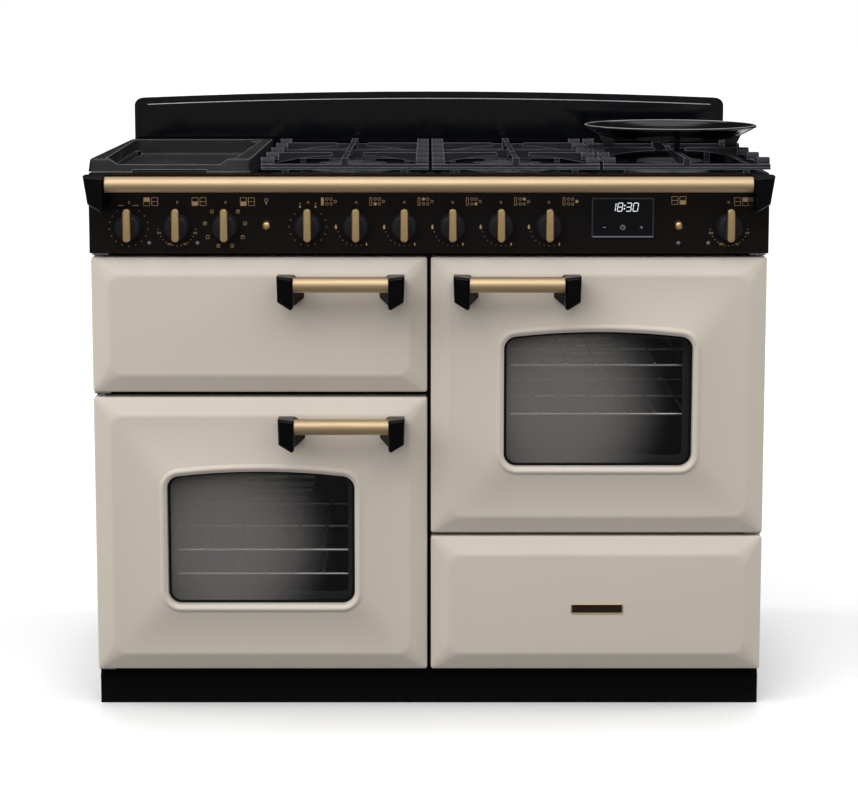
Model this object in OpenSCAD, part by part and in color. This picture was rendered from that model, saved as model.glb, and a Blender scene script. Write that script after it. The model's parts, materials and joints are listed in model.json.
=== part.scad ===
// Range cooker, 110 cm wide: two side-hung ovens, a side-hung grill, a storage drawer,
// five gas burners under three cast pan supports, a cast griddle, ten rotary controls and a handrail.
// X runs to the right, Y to the back and Z up. The origin is on the floor, under the middle of the whole.

/* [Body] */
// Width of the body over its side panels
body_w = 1092; // [1000:1:1200]
// Depth from the door faces to the back
body_d = 608; // [600:1:660]
// How far the hob castings stand out past each side
hob_overhang = 5; // [2:0.5:8]
// Height of the plinth
plinth_h = 58; // [50:1:61]
// How far the plinth is set back from the door faces
plinth_setback = 28; // [22:1:36]
// Thickness of the folded sheet of the body
sheet = 2; // [1.5:0.1:2.5]
// Gap between the two columns of doors
column_gap = 6; // [4:0.5:8]

/* [Doors] */
// Height of the doors' and the drawer's lower edge above the floor
door_z = 63; // [63:0.5:66]
// Height of an oven door
oven_door_h = 455; // [440:1:460]
// Height of the drawer front
drawer_front_h = 224; // [210:1:225]
// Gap between the left oven door and the grill door
left_door_gap = 9; // [8:0.5:10]
// Gap between the drawer front and the right oven door
right_door_gap = 6; // [6:0.5:8]
// Gap between the doors and the control panel
panel_gap = 7; // [4:0.5:10]
// Depth of a door from its face to its back
door_d = 42; // [40:0.5:44]
// Width of the bevel round a door
bevel_w = 29; // [20:1:34]
// Depth of the bevel round a door
bevel_d = 12; // [8:0.5:14]
// Corner radius of the flat inside the bevel
flat_r = 21; // [12:1:30]
// Corner radius of a door's outline
edge_r = 4; // [3:0.5:6]
// Thickness of a door's steel
skin = 2.4; // [2:0.1:3]

/* [Windows] */
// Width of an oven window
window_w = 306; // [260:1:330]
// Height of an oven window at its middle
window_h = 222; // [180:1:240]
// Rise of the arch over a window
window_rise = 10; // [6:1:20]
// Corner radius of a window
window_r = 21; // [14:1:30]
// Height of a window's sill above the door's lower edge
window_sill = 112; // [100:1:120]
// Width of the raised bead round a window
bead_w = 13; // [10:0.5:16]
// How far the bead stands out of the door
bead_h = 3.4; // [2:0.2:5]
// Thickness of a glass pane
pane = 4; // [3:0.5:5]

/* [Hinges] */
// Distance of a hinge pin from the outer edge of its door
pin_inset = 14; // [12:0.5:16]
// Distance of a hinge pin from the back of its door
pin_from_back = 11; // [10:0.5:12]
// Radius of a hinge pin
pin_r = 4; // [3:0.25:4.5]
// Length of a hinge pin inside its door
pin_len = 14; // [10:1:18]
// Running clearance round a pin or spindle
run = 0.1; // [0.06:0.02:0.1]
// Gap that keeps separate pieces just apart
seat = 0.3; // [0.2:0.05:0.4]

/* [Handles] */
// Radius of a handle's tube
tube_r = 12.5; // [10:0.5:14]
// Distance of a handle's axis in front of the door faces
tube_out = 46; // [42:1:50]
// Overall width of a door handle
handle_w = 203; // [180:1:240]
// Distance from a handle's free-end bracket to the door's edge
handle_inset = 36; // [30:1:60]
// Height of a door handle's axis below the door's top edge
handle_drop = 38; // [34:1:46]
// Width of a handle bracket
bracket_w = 26; // [22:1:30]
// How far a bracket stands out of the door faces
rail_reach = 62; // [60:1:66]
// Distance of the handrail's axis below the hob's rim
rail_drop = 14; // [10:1:18]

/* [Controls] */
// Height of the control panel
panel_h = 127; // [120:1:128]
// Depth of the control panel
panel_d = 50; // [44:1:50]
// Height of the knob axes above the panel's lower edge
knob_lift = 43; // [38:1:47]
// Radius of a knob
knob_r = 22; // [18:0.5:24]
// Distance between neighbouring knobs
knob_pitch = 77.5; // [70:0.5:78]
// Distance from the body's left side to the first oven knob
oven_knob_inset = 63.5; // [62:0.5:66]
// X of the first hob knob
hob_knob_x = -194.5; // [-198:0.5:-190]
// Distance from the last knob to the body's right side
last_knob_inset = 64; // [62:0.5:68]
// Radius of a control spindle
spindle_r = 4; // [3:0.25:5]
// Width of the clock display
display_w = 100; // [90:1:110]
// Height of the clock display
display_h = 64; // [56:1:66]
// Distance from the display's middle to the body's right side
display_inset = 235; // [230:1:240]
// Height of the display's middle above the knob axes
display_lift = 15; // [10:1:18]
// Radius of a push button
button_r = 6.5; // [5:0.25:8]
// Travel of a push button
button_travel = 3; // [2:0.5:3.5]
// Distance from the timer button to the body's right side
timer_inset = 145; // [140:1:150]
// Height of a push button's axis above the knob axes
button_lift = 2; // [0:0.5:4]
// Distance of an indicator lamp beside the axis of its knob
lamp_side = 33; // [28:0.5:36]
// Distance of an indicator lamp below the axis of its knob
lamp_drop = 26; // [20:0.5:28]
// Radius of an indicator lamp
lamp_r = 3.2; // [2.4:0.2:4]

/* [Ovens] */
// Inner width of an oven or the grill
cavity_w = 440; // [400:1:460]
// Height of an oven door over the oven's ceiling
oven_head = 41; // [36:1:60]
// Height of the grill door over the grill's ceiling
grill_head = 37; // [30:1:50]
// Height of an oven's floor above its door's lower edge
oven_floor = 44; // [40:1:48]
// Height of the grill's floor above its door's lower edge
grill_floor = 34; // [30:1:38]
// Depth of a cavity from the frame's face to its back wall
cavity_d = 418; // [400:1:430]
// Corner radius of a cavity
cavity_r = 14; // [8:1:20]
// Radius of the wire of shelves and ladders
wire_r = 2.6; // [2:0.1:3]
// Distance between two shelf positions
rung_pitch = 41; // [36:1:44]
// Height of the lowest shelf position above the oven floor
rung_low = 96; // [80:1:100]
// Distance between the bars of a shelf
shelf_pitch = 49; // [30:1:60]
// Radius of an oven fan
fan_r = 76; // [60:1:80]

/* [Drawer] */
// Travel of the drawer
drawer_travel = 400; // [300:10:410]
// Length of the drawer that stays in its runners when it is open
drawer_kept = 70; // [50:5:90]
// Height of the drawer box
drawer_h = 150; // [120:5:160]
// Width of a drawer runner
runner_w = 16; // [12:1:18]

/* [Hob] */
// Gap between the griddle and the pan support beside it
griddle_gap = 16; // [10:1:20]
// Height of the griddle's rim above the hob's rim
griddle_rise = 21; // [16:1:24]
// Width of the griddle's back rim
griddle_rim = 20; // [16:1:26]
// Depth of the griddle's dip at the front
griddle_dip = 9; // [6:1:12]
// Width of a pan support
support_w = 270; // [262:1:271]
// Height of the pan supports' top above the hob's rim
support_rise = 23; // [18:1:26]
// Gap between two pan supports
support_gap = 6; // [4:0.5:8]
// Distance of the hob castings behind the door faces
casting_y = 26; // [22:1:30]
// Gap between the hob castings and the splashback
casting_back = 43; // [34:1:60]
// Raised blocks on each side of a pan support
blocks = 5; // [3:2:7]
// Radius of the wok ring
wok_r = 148; // [130:1:150]
// Height of the wok ring's rim above the pan support
wok_rise = 40; // [34:1:46]
// Depth of the splashback
splash_d = 23; // [18:1:26]
// Height of the splashback's top at its middle, above the hob's rim
splash_rise = 106; // [90:1:120]
// Rise of the splashback's arch
splash_arch = 12; // [8:1:20]

/* [Hidden] */
$fn = 48;

// Y of the door faces, so that the whole lies evenly about Y = 0
face_y = (rail_reach - body_d) / 2;
back_y = face_y + body_d;
half_w = body_w / 2;
door_w = half_w - column_gap / 2;
door_back_y = face_y + door_d;
pin_y = door_back_y - pin_from_back;
pin_x = half_w - pin_inset;
frame_gap = 10;
frame_y = door_back_y + frame_gap;
frame_d = 4;
frame_back = frame_y + frame_d;
left_mid = -(half_w + column_gap / 2) / 2;
right_mid = -left_mid;
grill_door_z = door_z + oven_door_h + left_door_gap;
grill_door_h = drawer_front_h + right_door_gap - left_door_gap;
right_door_z = door_z + drawer_front_h + right_door_gap;
panel_z = right_door_z + oven_door_h + panel_gap;
hob_z = panel_z + panel_h + 2;
knob_z = panel_z + knob_lift;
display_z = knob_z + display_lift;
rail_z = hob_z - rail_drop;
left_floor_z = door_z + oven_floor;
right_floor_z = right_door_z + oven_floor;
grill_floor_z = grill_door_z + grill_floor;
oven_h = oven_door_h - oven_floor - oven_head;
grill_h = grill_door_h - grill_floor - grill_head;
cavity_back_y = frame_y + cavity_d;
fan_gap = 34;
cover_y = cavity_back_y - fan_gap;
fan_shaft_r = 4;
tray_floor_z = hob_z - 20;
side_top = tray_floor_z - sheet;
tray_rim = 14;
tray_front = 18;
hob_bead_r = 106;
hob_bead_w = 7;
hob_bead_h = 3;
panel_lip = 16;
support_z = hob_z + support_rise;
support_y0 = face_y + casting_y;
support_l = body_d - casting_y - casting_back - splash_d;
griddle_l = support_l - 3;
griddle_w = 2 * (half_w + hob_overhang) - 3 * support_w - 2 * support_gap - griddle_gap;
support_x = [for (i = [0:2]) half_w + hob_overhang - support_w / 2 - (2 - i) * (support_w + support_gap)];
griddle_x = -half_w - hob_overhang;
rail_y = face_y - tube_out;
rail_bracket_w = 34;
rail_foot = 10;
rail_tall = 31;
handle_foot = 15;
handle_tall = 27;
fold_r = 3;
blend = 0.13;
foot_inset = [70, 40, 60];
louvre = [110, 8, 24];
louvre_z = 240;
plinth_return = 120;
griddle_floor = 14;
griddle_base = 6;
griddle_side = 27;
griddle_narrow = 12;
griddle_front = 14;
griddle_horn = 32;
griddle_slope = 18;
griddle_slot = 72;
knob_x = concat(
    [for (i = [0:2]) oven_knob_inset - half_w + i * knob_pitch],
    [for (i = [0:5]) hob_knob_x + i * knob_pitch],
    [half_w - last_knob_inset]);
display_x = half_w - display_inset;
light_x = (knob_x[2] + knob_x[3]) / 2;
timer_x = half_w - timer_inset;
button_z = knob_z + button_lift;
lamps = [[knob_x[0] + lamp_side, knob_z - lamp_drop], [knob_x[1] + lamp_side, knob_z - lamp_drop],
         [timer_x, knob_z - lamp_drop], [knob_x[9] - lamp_side, knob_z - lamp_drop]];
valve_r = 14;
drawer_l = drawer_travel + drawer_kept;
drawer_box_x = [sheet / 2 + runner_w, half_w - sheet - runner_w];
drawer_box_z = door_z + 20;
tube_socket = 8;
tube_wall = 1.5;
inlet_x = 36 - half_w;
inlet_z = panel_z - 35;
inlet_r = 10.5;
inlet_bore = 7.5;
pipe_r = 8;
rungs = 5;
ladder_in = wire_r + seat;
ladder_front = 30;
ladder_span = 320;
ladder_y = [frame_y + ladder_front, frame_y + ladder_front + ladder_span];
shelf_l = ladder_span + 15;
hinge_thick = 3;
hinge_washer = 0.7;
block_gap = 1.5;
wok_low = 16;
wok_wall = 3.5;
wok_bowl = 96;
wok_inner = 78;

// Points of an arc about c from angle a0 to a1
function arc(c, r, a0, a1, n = 5) =
    [for (i = [0:n]) let (a = a0 + (a1 - a0) * i / n) [c[0] + r * cos(a), c[1] + r * sin(a)]];

// Outline of a rectangle with rounded corners
function rounded(x0, z0, x1, z1, r, n = 5) = concat(
    arc([x1 - r, z0 + r], r, -90, 0, n), arc([x1 - r, z1 - r], r, 0, 90, n),
    arc([x0 + r, z1 - r], r, 90, 180, n), arc([x0 + r, z0 + r], r, 180, 270, n));

// Outline with an arched top, grown outwards by d: its corners are tangent to its sides and its arch
function arch_radius(w, rise) = (w * w / 4 + rise * rise) / (2 * rise);
function arch_corner_z(w, h, rise, r) =
    let (R = arch_radius(w, rise)) h - R + sqrt(pow(R - r, 2) - pow(w / 2 - r, 2));
function arch_top(w, h, rise, r, d, n = 5) =
    let (R = arch_radius(w, rise), cx = w / 2 - r, cz = arch_corner_z(w, h, rise, r),
         lean = atan2(cz - (h - R), cx))
    concat(arc([cx, cz], r + d, 0, lean, n), arc([0, h - R], R + d, lean, 180 - lean, 2 * n),
           arc([-cx, cz], r + d, 180 - lean, 180, n));
function arched(w, h, rise, r, d = 0, n = 5) = concat(
    arc([w / 2 - r, r], r + d, -90, 0, n), arch_top(w, h, rise, r, d, n),
    arc([-w / 2 + r, r], r + d, 180, 270, n));

// Moves an outline to x, z, and stands it up at a given y
function moved(pts, x, z) = [for (p = pts) [p[0] + x, p[1] + z]];
function stood(pts, y) = [for (p = pts) [p[0], y, p[1]]];
function laid(pts, z) = [for (p = pts) [p[0], p[1], z]];
function smooth(t) = t * t * (3 - 2 * t);

// Box from corner to corner
module box(x0, x1, y0, y1, z0, z1) {
    translate([x0, y0, z0]) cube([x1 - x0, y1 - y0, z1 - z0]);
}

// An outline in X and Z, made solid from y0 to y1
module plate_y(y0, y1, pts) {
    translate([0, y1, 0]) rotate([90, 0, 0]) linear_extrude(y1 - y0) polygon(pts);
}

// An outline in Y and Z, made solid from x0 to x1
module plate_x(x0, x1, pts) {
    translate([x0, 0, 0]) rotate([90, 0, 90]) linear_extrude(x1 - x0) polygon(pts);
}

module rod_x(y, z, r, x0, x1) {
    translate([x0, y, z]) rotate([0, 90, 0]) cylinder(r = r, h = x1 - x0);
}

module rod_y(x, z, r, y0, y1) {
    translate([x, y0, z]) rotate([-90, 0, 0]) cylinder(r = r, h = y1 - y0);
}

module rod_z(x, y, r, z0, z1) {
    translate([x, y, z0]) cylinder(r = r, h = z1 - z0);
}

// A skin over rings of points that run from front to back, closed at its ends or on itself
module loft(rings, closed = false) {
    n = len(rings[0]);
    m = len(rings);
    sides = [for (i = [0:(closed ? m - 1 : m - 2)]) for (j = [0:n - 1])
        let (k = (j + 1) % n, below = ((i + 1) % m) * n)
        each [[i * n + j, i * n + k, below + k], [i * n + j, below + k, below + j]]];
    caps = closed ? [] : [[for (j = [n - 1:-1:0]) j], [for (j = [0:n - 1]) (m - 1) * n + j]];
    polyhedron([for (r = rings) each r], concat(sides, caps));
}

// Section of a pressed edge, as inset and depth behind the flat: a round fold, a plane slope and a curve
// that meets the slope and the flat without a crease
function bevel_section() =
    let (lean = atan2(bevel_d, bevel_w),
         centre = bevel_d * (1 - fold_r * (1 - sin(lean)) / bevel_w) + fold_r * cos(lean))
    concat([for (k = [0:4]) let (t = 1 + blend - k * blend / 2)
                [t * bevel_w, pow(1 + blend - t, 2) / (4 * blend) * bevel_d]],
           [for (a = [90 - lean, (90 - lean) / 2, 0]) [fold_r * (1 - cos(a)), centre - fold_r * sin(a)]]);

// Pressed front with that bevel all round its flat; inset by d for its hollow inside
module pressing(w, h, depth, d = 0) {
    rings = [for (s = bevel_section())
        let (inset = d + s[0])
        stood(rounded(-w / 2 + inset, inset, w / 2 - inset, h - inset,
                      max(edge_r - d / 2, 0.6) + (flat_r - edge_r) * min(s[0] / bevel_w, 1)),
              face_y + d + s[1])];
    loft(concat(rings, [stood(rounded(-w / 2 + d, d, w / 2 - d, h - d, max(edge_r - d / 2, 0.6)),
                              face_y + depth + (d > 0 ? 1 : 0))]));
}

// Raised bead and return that frame a window
module window_frame() {
    return_y = face_y + bevel_d;
    section = [[0, face_y - bead_h * 0.3], [1.5, face_y - bead_h * 0.8], [bead_w * 0.35, face_y - bead_h],
               [bead_w * 0.7, face_y - bead_h * 0.8], [bead_w, face_y + 0.2], [bead_w, face_y + skin],
               [skin, return_y], [0, return_y]];
    translate([0, 0, window_sill])
        loft([for (s = section) stood(arched(window_w, window_h, window_rise, window_r, s[0]), s[1])],
             closed = true);
}

module window_hole(y0, y1, d = 0) {
    plate_y(y0, y1, moved(arched(window_w, window_h, window_rise, window_r, d), 0, window_sill));
}

// Pieces shared by the doors: side is -1 where the hinge is on the left and 1 where it is on the right
module door_skin(h, side, windowed) {
    difference() {
        pressing(door_w, h, door_d - skin);
        pressing(door_w, h, door_d - skin, skin);
        if (windowed) window_hole(face_y - 1, face_y + bevel_d, 1);
        for (z = [-1, h - skin - 1])
            rod_z(side * (door_w / 2 - pin_inset), pin_y, pin_r + 1, z, z + skin + 2);
    }
    if (windowed) window_frame();
}

module door_liner(h, side, windowed) {
    x = side * (door_w / 2 - pin_inset);
    block = pin_inset - skin - block_gap;
    difference() {
        union() {
            plate_y(door_back_y - skin, door_back_y, rounded(-door_w / 2, 0, door_w / 2, h, edge_r));
            for (z = [skin + block_gap, h - skin - block_gap - pin_len - 4])
                box(x - block, x + block, pin_y - pin_r - 5, door_back_y - skin, z, z + pin_len + 4);
        }
        for (z = [-1, h - skin - seat - pin_len])
            rod_z(x, pin_y, pin_r + run, z, z + skin + seat + pin_len + 1);
        if (windowed) window_hole(door_back_y - skin - 1, door_back_y + 1, -12);
    }
}

module door_glass() {
    window_hole(face_y + bevel_d + seat, face_y + bevel_d + seat + pane, 9);
    difference() {
        window_hole(face_y + bevel_d + seat + pane, door_back_y - skin, 9);
        window_hole(face_y + bevel_d + pane, door_back_y, 3);
    }
    window_hole(door_back_y - skin - pane, door_back_y - skin, 3);
}

// Five-sided handle bracket: a chamfered nose, a straight neck and a foot that spreads under the tube;
// the first value of a point grows away from the handle, and lean draws its lower outer corner in
module bracket(w, foot, tall, lean) {
    top = tube_r + 2.5;
    low = -tube_r - tall;
    nose = 3;
    tip = w * 0.16;
    side = low + 13;
    body = [[tip, low], [w - lean, side], [w, top], [0, top], [0, low + 3]];
    rings = [
        [[tip + 1, low + nose + 1], [w - nose - lean, side + 2], [w - nose, top - nose], [nose, top - 2 * nose],
         [nose, low + 2 * nose]],
        [for (i = [0:4]) i == 3 ? [0, top - nose] : body[i]],
        body,
        [[tip, low + 3], [w - lean, side + 1], [w, 4], [-foot, -2], [-foot, side]]];
    depth = [-rail_reach, -rail_reach + nose, -rail_reach / 2, 0];
    loft([for (i = [0:3]) stood(rings[i], depth[i])]);
}

// Mirrored pair of brackets with sockets for the tube between them
module bracket_pair(w, bracket_width, foot, tall, lean) {
    difference() {
        for (side = [-1, 1])
            scale([side, 1, 1]) translate([w / 2 - bracket_width, face_y, 0])
                bracket(bracket_width, foot, tall, lean);
        rod_x(rail_y, 0, tube_r + seat, -w / 2 + bracket_width - tube_socket - seat,
              w / 2 - bracket_width + tube_socket + seat);
    }
}

// Brass tube with its bore, long enough to reach into its two sockets
module handle_tube(w, bracket_width) {
    l = w / 2 - bracket_width + tube_socket;
    difference() {
        rod_x(rail_y, 0, tube_r, -l, l);
        rod_x(rail_y, 0, tube_r - tube_wall, -l - 1, l + 1);
    }
}

function handle_z(z, h) = z + h - handle_drop;

module handle_at(z, h, side) {
    x = side * (column_gap / 2 + handle_inset + handle_w / 2);
    translate([x, 0, handle_z(z, h)]) children();
}

module handle_brackets(z, h, side) {
    handle_at(z, h, side) bracket_pair(handle_w, bracket_w, handle_foot, handle_tall, 1);
}

module handle_bar(z, h, side) {
    handle_at(z, h, side) handle_tube(handle_w, bracket_w);
}

// Folded front frame, base tray and middle wall that carry everything
module chassis() {
    color("dimgray") {
        difference() {
            box(-half_w, half_w, frame_y, frame_back, plinth_h, panel_z);
            for (c = [[left_mid, left_floor_z, oven_h], [right_mid, right_floor_z, oven_h],
                      [left_mid, grill_floor_z, grill_h]])
                cavity_outline(c, frame_y - 1, frame_back + 1, sheet);
            box(sheet / 2 + 3, half_w - sheet, frame_y - 1, frame_back + 1,
                door_z + 6, door_z + drawer_front_h - 14);
        }
        box(-half_w + sheet, half_w - sheet, frame_back, back_y - sheet,
            plinth_h - sheet, plinth_h);
        box(-half_w + sheet, half_w - sheet, frame_y, frame_back, plinth_h - sheet, plinth_h);
        box(-sheet / 2, sheet / 2, frame_back, back_y - sheet, plinth_h, tray_floor_z - sheet);
        box(-half_w + sheet, half_w - sheet, back_y - sheet - 20, back_y - sheet,
            tray_floor_z - sheet - 20, tray_floor_z - sheet);
    }
}

module cavity_outline(c, y0, y1, d) {
    plate_y(y0, y1, rounded(c[0] - cavity_w / 2 - d, c[1] - d, c[0] + cavity_w / 2 + d, c[1] + c[2] + d,
                            cavity_r + d));
}

module levelling_feet() {
    foot_z = plinth_h - sheet;
    color("black")
        for (x = [foot_inset[0] - half_w, half_w - foot_inset[0]], y = [frame_y + foot_inset[1], back_y - foot_inset[2]]) {
            translate([x, y, 0]) cylinder(r1 = 24, r2 = 18, h = 12);
            rod_z(x, y, 7, 12, foot_z);
            translate([x, y, 20]) cylinder(r = 13, h = 8, $fn = 6);
        }
}

// Left, right and back panels; the back has louvres, and the gas inlet passes through it
module outer_panels() {
    color("dimgray") {
        for (side = [-1, 1])
            scale([side, 1, 1]) {
                box(half_w - sheet, half_w, frame_back, back_y, plinth_h, side_top);
                box(half_w - sheet, half_w, face_y + panel_d, frame_back, panel_z, side_top);
            }
        difference() {
            box(-half_w + sheet, half_w - sheet, back_y - sheet, back_y, plinth_h - sheet, side_top);
            for (x = [left_mid, right_mid], i = [0:7])
                let (z = louvre_z + i * louvre[2])
                box(x - louvre[0], x + louvre[0], back_y - sheet - 1, back_y + 1, z, z + louvre[1]);
            rod_y(inlet_x, inlet_z, inlet_r + 3, back_y - sheet - 1, back_y + 1);
        }
    }
}

// Kick board with a stepped top edge and returns at its ends
module plinth() {
    y = face_y + plinth_setback;
    color("black") {
        plate_x(-half_w + 1, half_w - 1, [[y + 3, 0], [y, 0], [y, plinth_h - 9], [y + 4, plinth_h - 5],
                                          [y + 4, plinth_h], [y + 7, plinth_h], [y + 7, plinth_h - 9], [y + 3, plinth_h - 11]]);
        for (side = [-1, 1])
            scale([side, 1, 1])
                box(half_w - 1 - sheet, half_w - 1, y + 3, frame_y + plinth_return, 0, plinth_h - sheet);
    }
}

// Folded fascia with its holes
module control_panel() {
    color([0.1, 0.08, 0.07])
        difference() {
            plate_x(-half_w, half_w, [[face_y + 2, panel_z], [face_y, panel_z + 2], [face_y, panel_z + panel_h],
                                      [face_y + panel_d, panel_z + panel_h], [face_y + panel_d, panel_z]]);
            box(-half_w + sheet, half_w - sheet, face_y + 3, face_y + panel_d + 1, panel_z + sheet,
                panel_z + panel_h - sheet);
            box(-half_w + sheet, half_w - sheet, face_y + panel_lip, face_y + panel_d + 1,
                panel_z + panel_h - sheet - 1, panel_z + panel_h + 1);
            for (x = knob_x) rod_y(x, knob_z, spindle_r + 1.5, face_y - 1, face_y + 4);
            for (x = [light_x, timer_x]) rod_y(x, button_z, button_r + seat, face_y - 1, face_y + 4);
            for (p = lamps) rod_y(p[0], p[1], lamp_r - 1 + seat, face_y - 1, face_y + 4);
            box(display_x - display_w / 2 + 5, display_x + display_w / 2 - 5, face_y - 1, face_y + 4,
                display_z - display_h / 2 + 5, display_z + display_h / 2 - 5);
        }
}

// Smoked display window in front of the fascia, with its circuit box behind
module clock_display() {
    color([0.05, 0.05, 0.06]) {
        plate_y(face_y - 2.5, face_y, rounded(display_x - display_w / 2, display_z - display_h / 2,
                                              display_x + display_w / 2, display_z + display_h / 2, 3));
        box(display_x - display_w / 2 + 5 + seat, display_x + display_w / 2 - 5 - seat, face_y, face_y + 26,
            display_z - display_h / 2 + 5 + seat, display_z + display_h / 2 - 5 - seat);
    }
}

module indicator_lamps() {
    color("silver")
        for (p = lamps) {
            rod_y(p[0], p[1], lamp_r - 1, face_y, face_y + 12);
            translate([p[0], face_y, p[1]]) rotate([90, 0, 0])
                rotate_extrude() polygon([[0, 0], [lamp_r, 0], [lamp_r, 1], [lamp_r * 0.8, 2], [lamp_r * 0.4, 2.7], [0, 2.9]]);
        }
}

module handrail_tube() {
    color("goldenrod") translate([0, 0, rail_z]) handle_tube(body_w, rail_bracket_w);
}

module handrail_brackets() {
    color("black") translate([0, 0, rail_z]) bracket_pair(body_w, rail_bracket_w, rail_foot, rail_tall, 7);
}

// Upstand behind the hob: an arched box with a raised border and a vent row at its foot
module splashback() {
    y0 = back_y - splash_d;
    w = body_w + 4;
    z = side_top;
    h = hob_z + splash_rise - z;
    border = 11;
    outline = concat([[-w / 2, 0], [w / 2, 0]], arch_top(w, h, splash_arch, 14, 0, 6));
    inner = concat([[-w / 2 + 4, -1], [w / 2 - 4, -1]], arch_top(w, h, splash_arch, 14, -border, 6));
    color([0.06, 0.06, 0.06])
        difference() {
            union() {
                plate_y(y0 + 2, back_y, moved(outline, 0, z));
                difference() {
                    plate_y(y0, y0 + 2, moved(outline, 0, z));
                    plate_y(y0 - 1, y0 + 3, moved([for (p = inner) [p[0], min(p[1], h - border)]], 0, z));
                }
            }
            box(-w / 2 + 20, w / 2 - 20, y0 + 5, back_y + 1, z + 8, z + h - border - 20);
            for (i = [-9:9])
                box(i * 54 - 18, i * 54 + 18, y0 - 1, y0 + 6, hob_z + 8, hob_z + 12);
        }
}

// Pressed hob: a raised rim round a sunk floor, with a round bead and a throat hole for each burner
module hob_tray() {
    x = half_w;
    y0 = face_y + 2;
    y1 = back_y - splash_d;
    rim = tray_rim;
    color([0.07, 0.07, 0.07])
        difference() {
            plate_z(tray_floor_z - sheet, hob_z, -x, y0, x, y1, 6);
            plate_z(tray_floor_z, hob_z + 1, -x + rim, y0 + tray_front, x - rim, y1 - rim, 20);
            difference() {
                union() {
                    plate_z(tray_floor_z - sheet - 1, hob_z - sheet, -x + sheet, y0 + panel_d - 6, x - sheet,
                            y1 - sheet, 5);
                    box(-x - 1, x + 1, y0 - 1, y0 + panel_d, tray_floor_z - sheet - 1, hob_z - sheet);
                }
                plate_z(tray_floor_z - sheet - 2, hob_z, -x + rim - sheet, y0 + tray_front - sheet,
                        x - rim + sheet, y1 - rim + sheet, 21);
            }
            for (b = burners) rod_z(b[0], b[1], b[2] * 0.5, tray_floor_z - sheet - 1, tray_floor_z + 1);
        }
    color([0.07, 0.07, 0.07])
        for (b = burners)
            let (r = b[2] > 50 ? hob_bead_r + 10 : hob_bead_r)
            translate([b[0], b[1], tray_floor_z]) rotate_extrude()
                polygon([[r - hob_bead_w, -sheet / 2], [r - hob_bead_w, 0], [r - hob_bead_w * 0.5, hob_bead_h * 0.8],
                         [r, hob_bead_h], [r + hob_bead_w * 0.5, hob_bead_h * 0.8], [r + hob_bead_w, 0],
                         [r + hob_bead_w, -sheet / 2]]);
}

module plate_z(z0, z1, x0, y0, x1, y1, r) {
    translate([0, 0, z0]) linear_extrude(z1 - z0) polygon(rounded(x0, y0, x1, y1, r));
}

// Burners: x, y and the radius of the cap; the right one is the large one for the wok
function support_along(t) = support_y0 + support_l * t;
burners = [
    [support_x[0], support_along(0.26), 33], [support_x[0], support_along(0.74), 44],
    [support_x[1], support_along(0.26), 33], [support_x[1], support_along(0.74), 44],
    [support_x[2], support_along(0.5), 58]];
head_h = 17;

// Aluminium burner bodies, with a throat below and a row of flame ports round the crown
module burner_heads() {
    color("silver")
        for (b = burners)
            difference() {
                translate([b[0], b[1], tray_floor_z]) rotate_extrude()
                    polygon([[b[2] * 0.3, -30], [b[2] * 0.5 - seat, -30], [b[2] * 0.5 - seat, 0], [b[2] + 9, 0],
                             [b[2] + 9, 3], [b[2] + 2, 7], [b[2] - 2, 9], [b[2] - 2, head_h], [b[2] * 0.3, head_h]]);
                for (a = [0:30:330])
                    translate([b[0], b[1], tray_floor_z + head_h - 3]) rotate([0, 0, a])
                        translate([b[2] * 0.6, -1.2, 0]) cube([b[2], 2.4, 4]);
            }
}

module burner_caps() {
    color([0.1, 0.1, 0.1])
        for (b = burners)
            translate([b[0], b[1], tray_floor_z + head_h]) rotate_extrude()
                polygon([[0, 0], [b[2], 0], [b[2], 2.5], [b[2] - 2, 4.5], [b[2] * 0.7, 5.5], [0, 6]]);
}

// Enamelled box, open at the front, with the fan motor on its back
module cavity(mid, floor_z, h, fan) {
    c = [mid, floor_z, h];
    difference() {
        cavity_outline(c, frame_y, cavity_back_y + sheet, sheet);
        cavity_outline(c, frame_y - 1, cavity_back_y, 0);
        if (fan) rod_y(mid, floor_z + h / 2, fan_shaft_r + 1, cavity_back_y - 1, cavity_back_y + sheet + 1);
    }
    if (fan)
        difference() {
            rod_y(mid, floor_z + h / 2, 42, cavity_back_y + sheet, cavity_back_y + sheet + 45);
            rod_y(mid, floor_z + h / 2, fan_shaft_r + run, cavity_back_y + sheet - 1, cavity_back_y + 36);
        }
}

module left_oven_cavity() {
    color("gray") cavity(left_mid, left_floor_z, oven_h, true);
}

module right_oven_cavity() {
    color("gray") cavity(right_mid, right_floor_z, oven_h, true);
}

module grill_cavity() {
    color("gray") cavity(left_mid, grill_floor_z, grill_h, false);
}

ovens = [[left_mid, left_floor_z, [0, 1]], [right_mid, right_floor_z, [1, 3]]];

// Wire ladders on the oven walls, one rung for each shelf position
module shelf_ladders() {
    color("silver")
        for (o = ovens, side = [-1, 1]) {
            x = o[0] + side * (cavity_w / 2 - ladder_in);
            for (y = ladder_y)
                rod_z(x, y, wire_r, o[1] + 40, o[1] + rung_low + rung_pitch * (rungs - 1) + 20);
            for (i = [0:rungs - 1])
                rod_y(x - side * wire_r * 1.6, o[1] + rung_low + rung_pitch * i, wire_r, ladder_y[0] - 8, ladder_y[1] + 8);
        }
}

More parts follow.
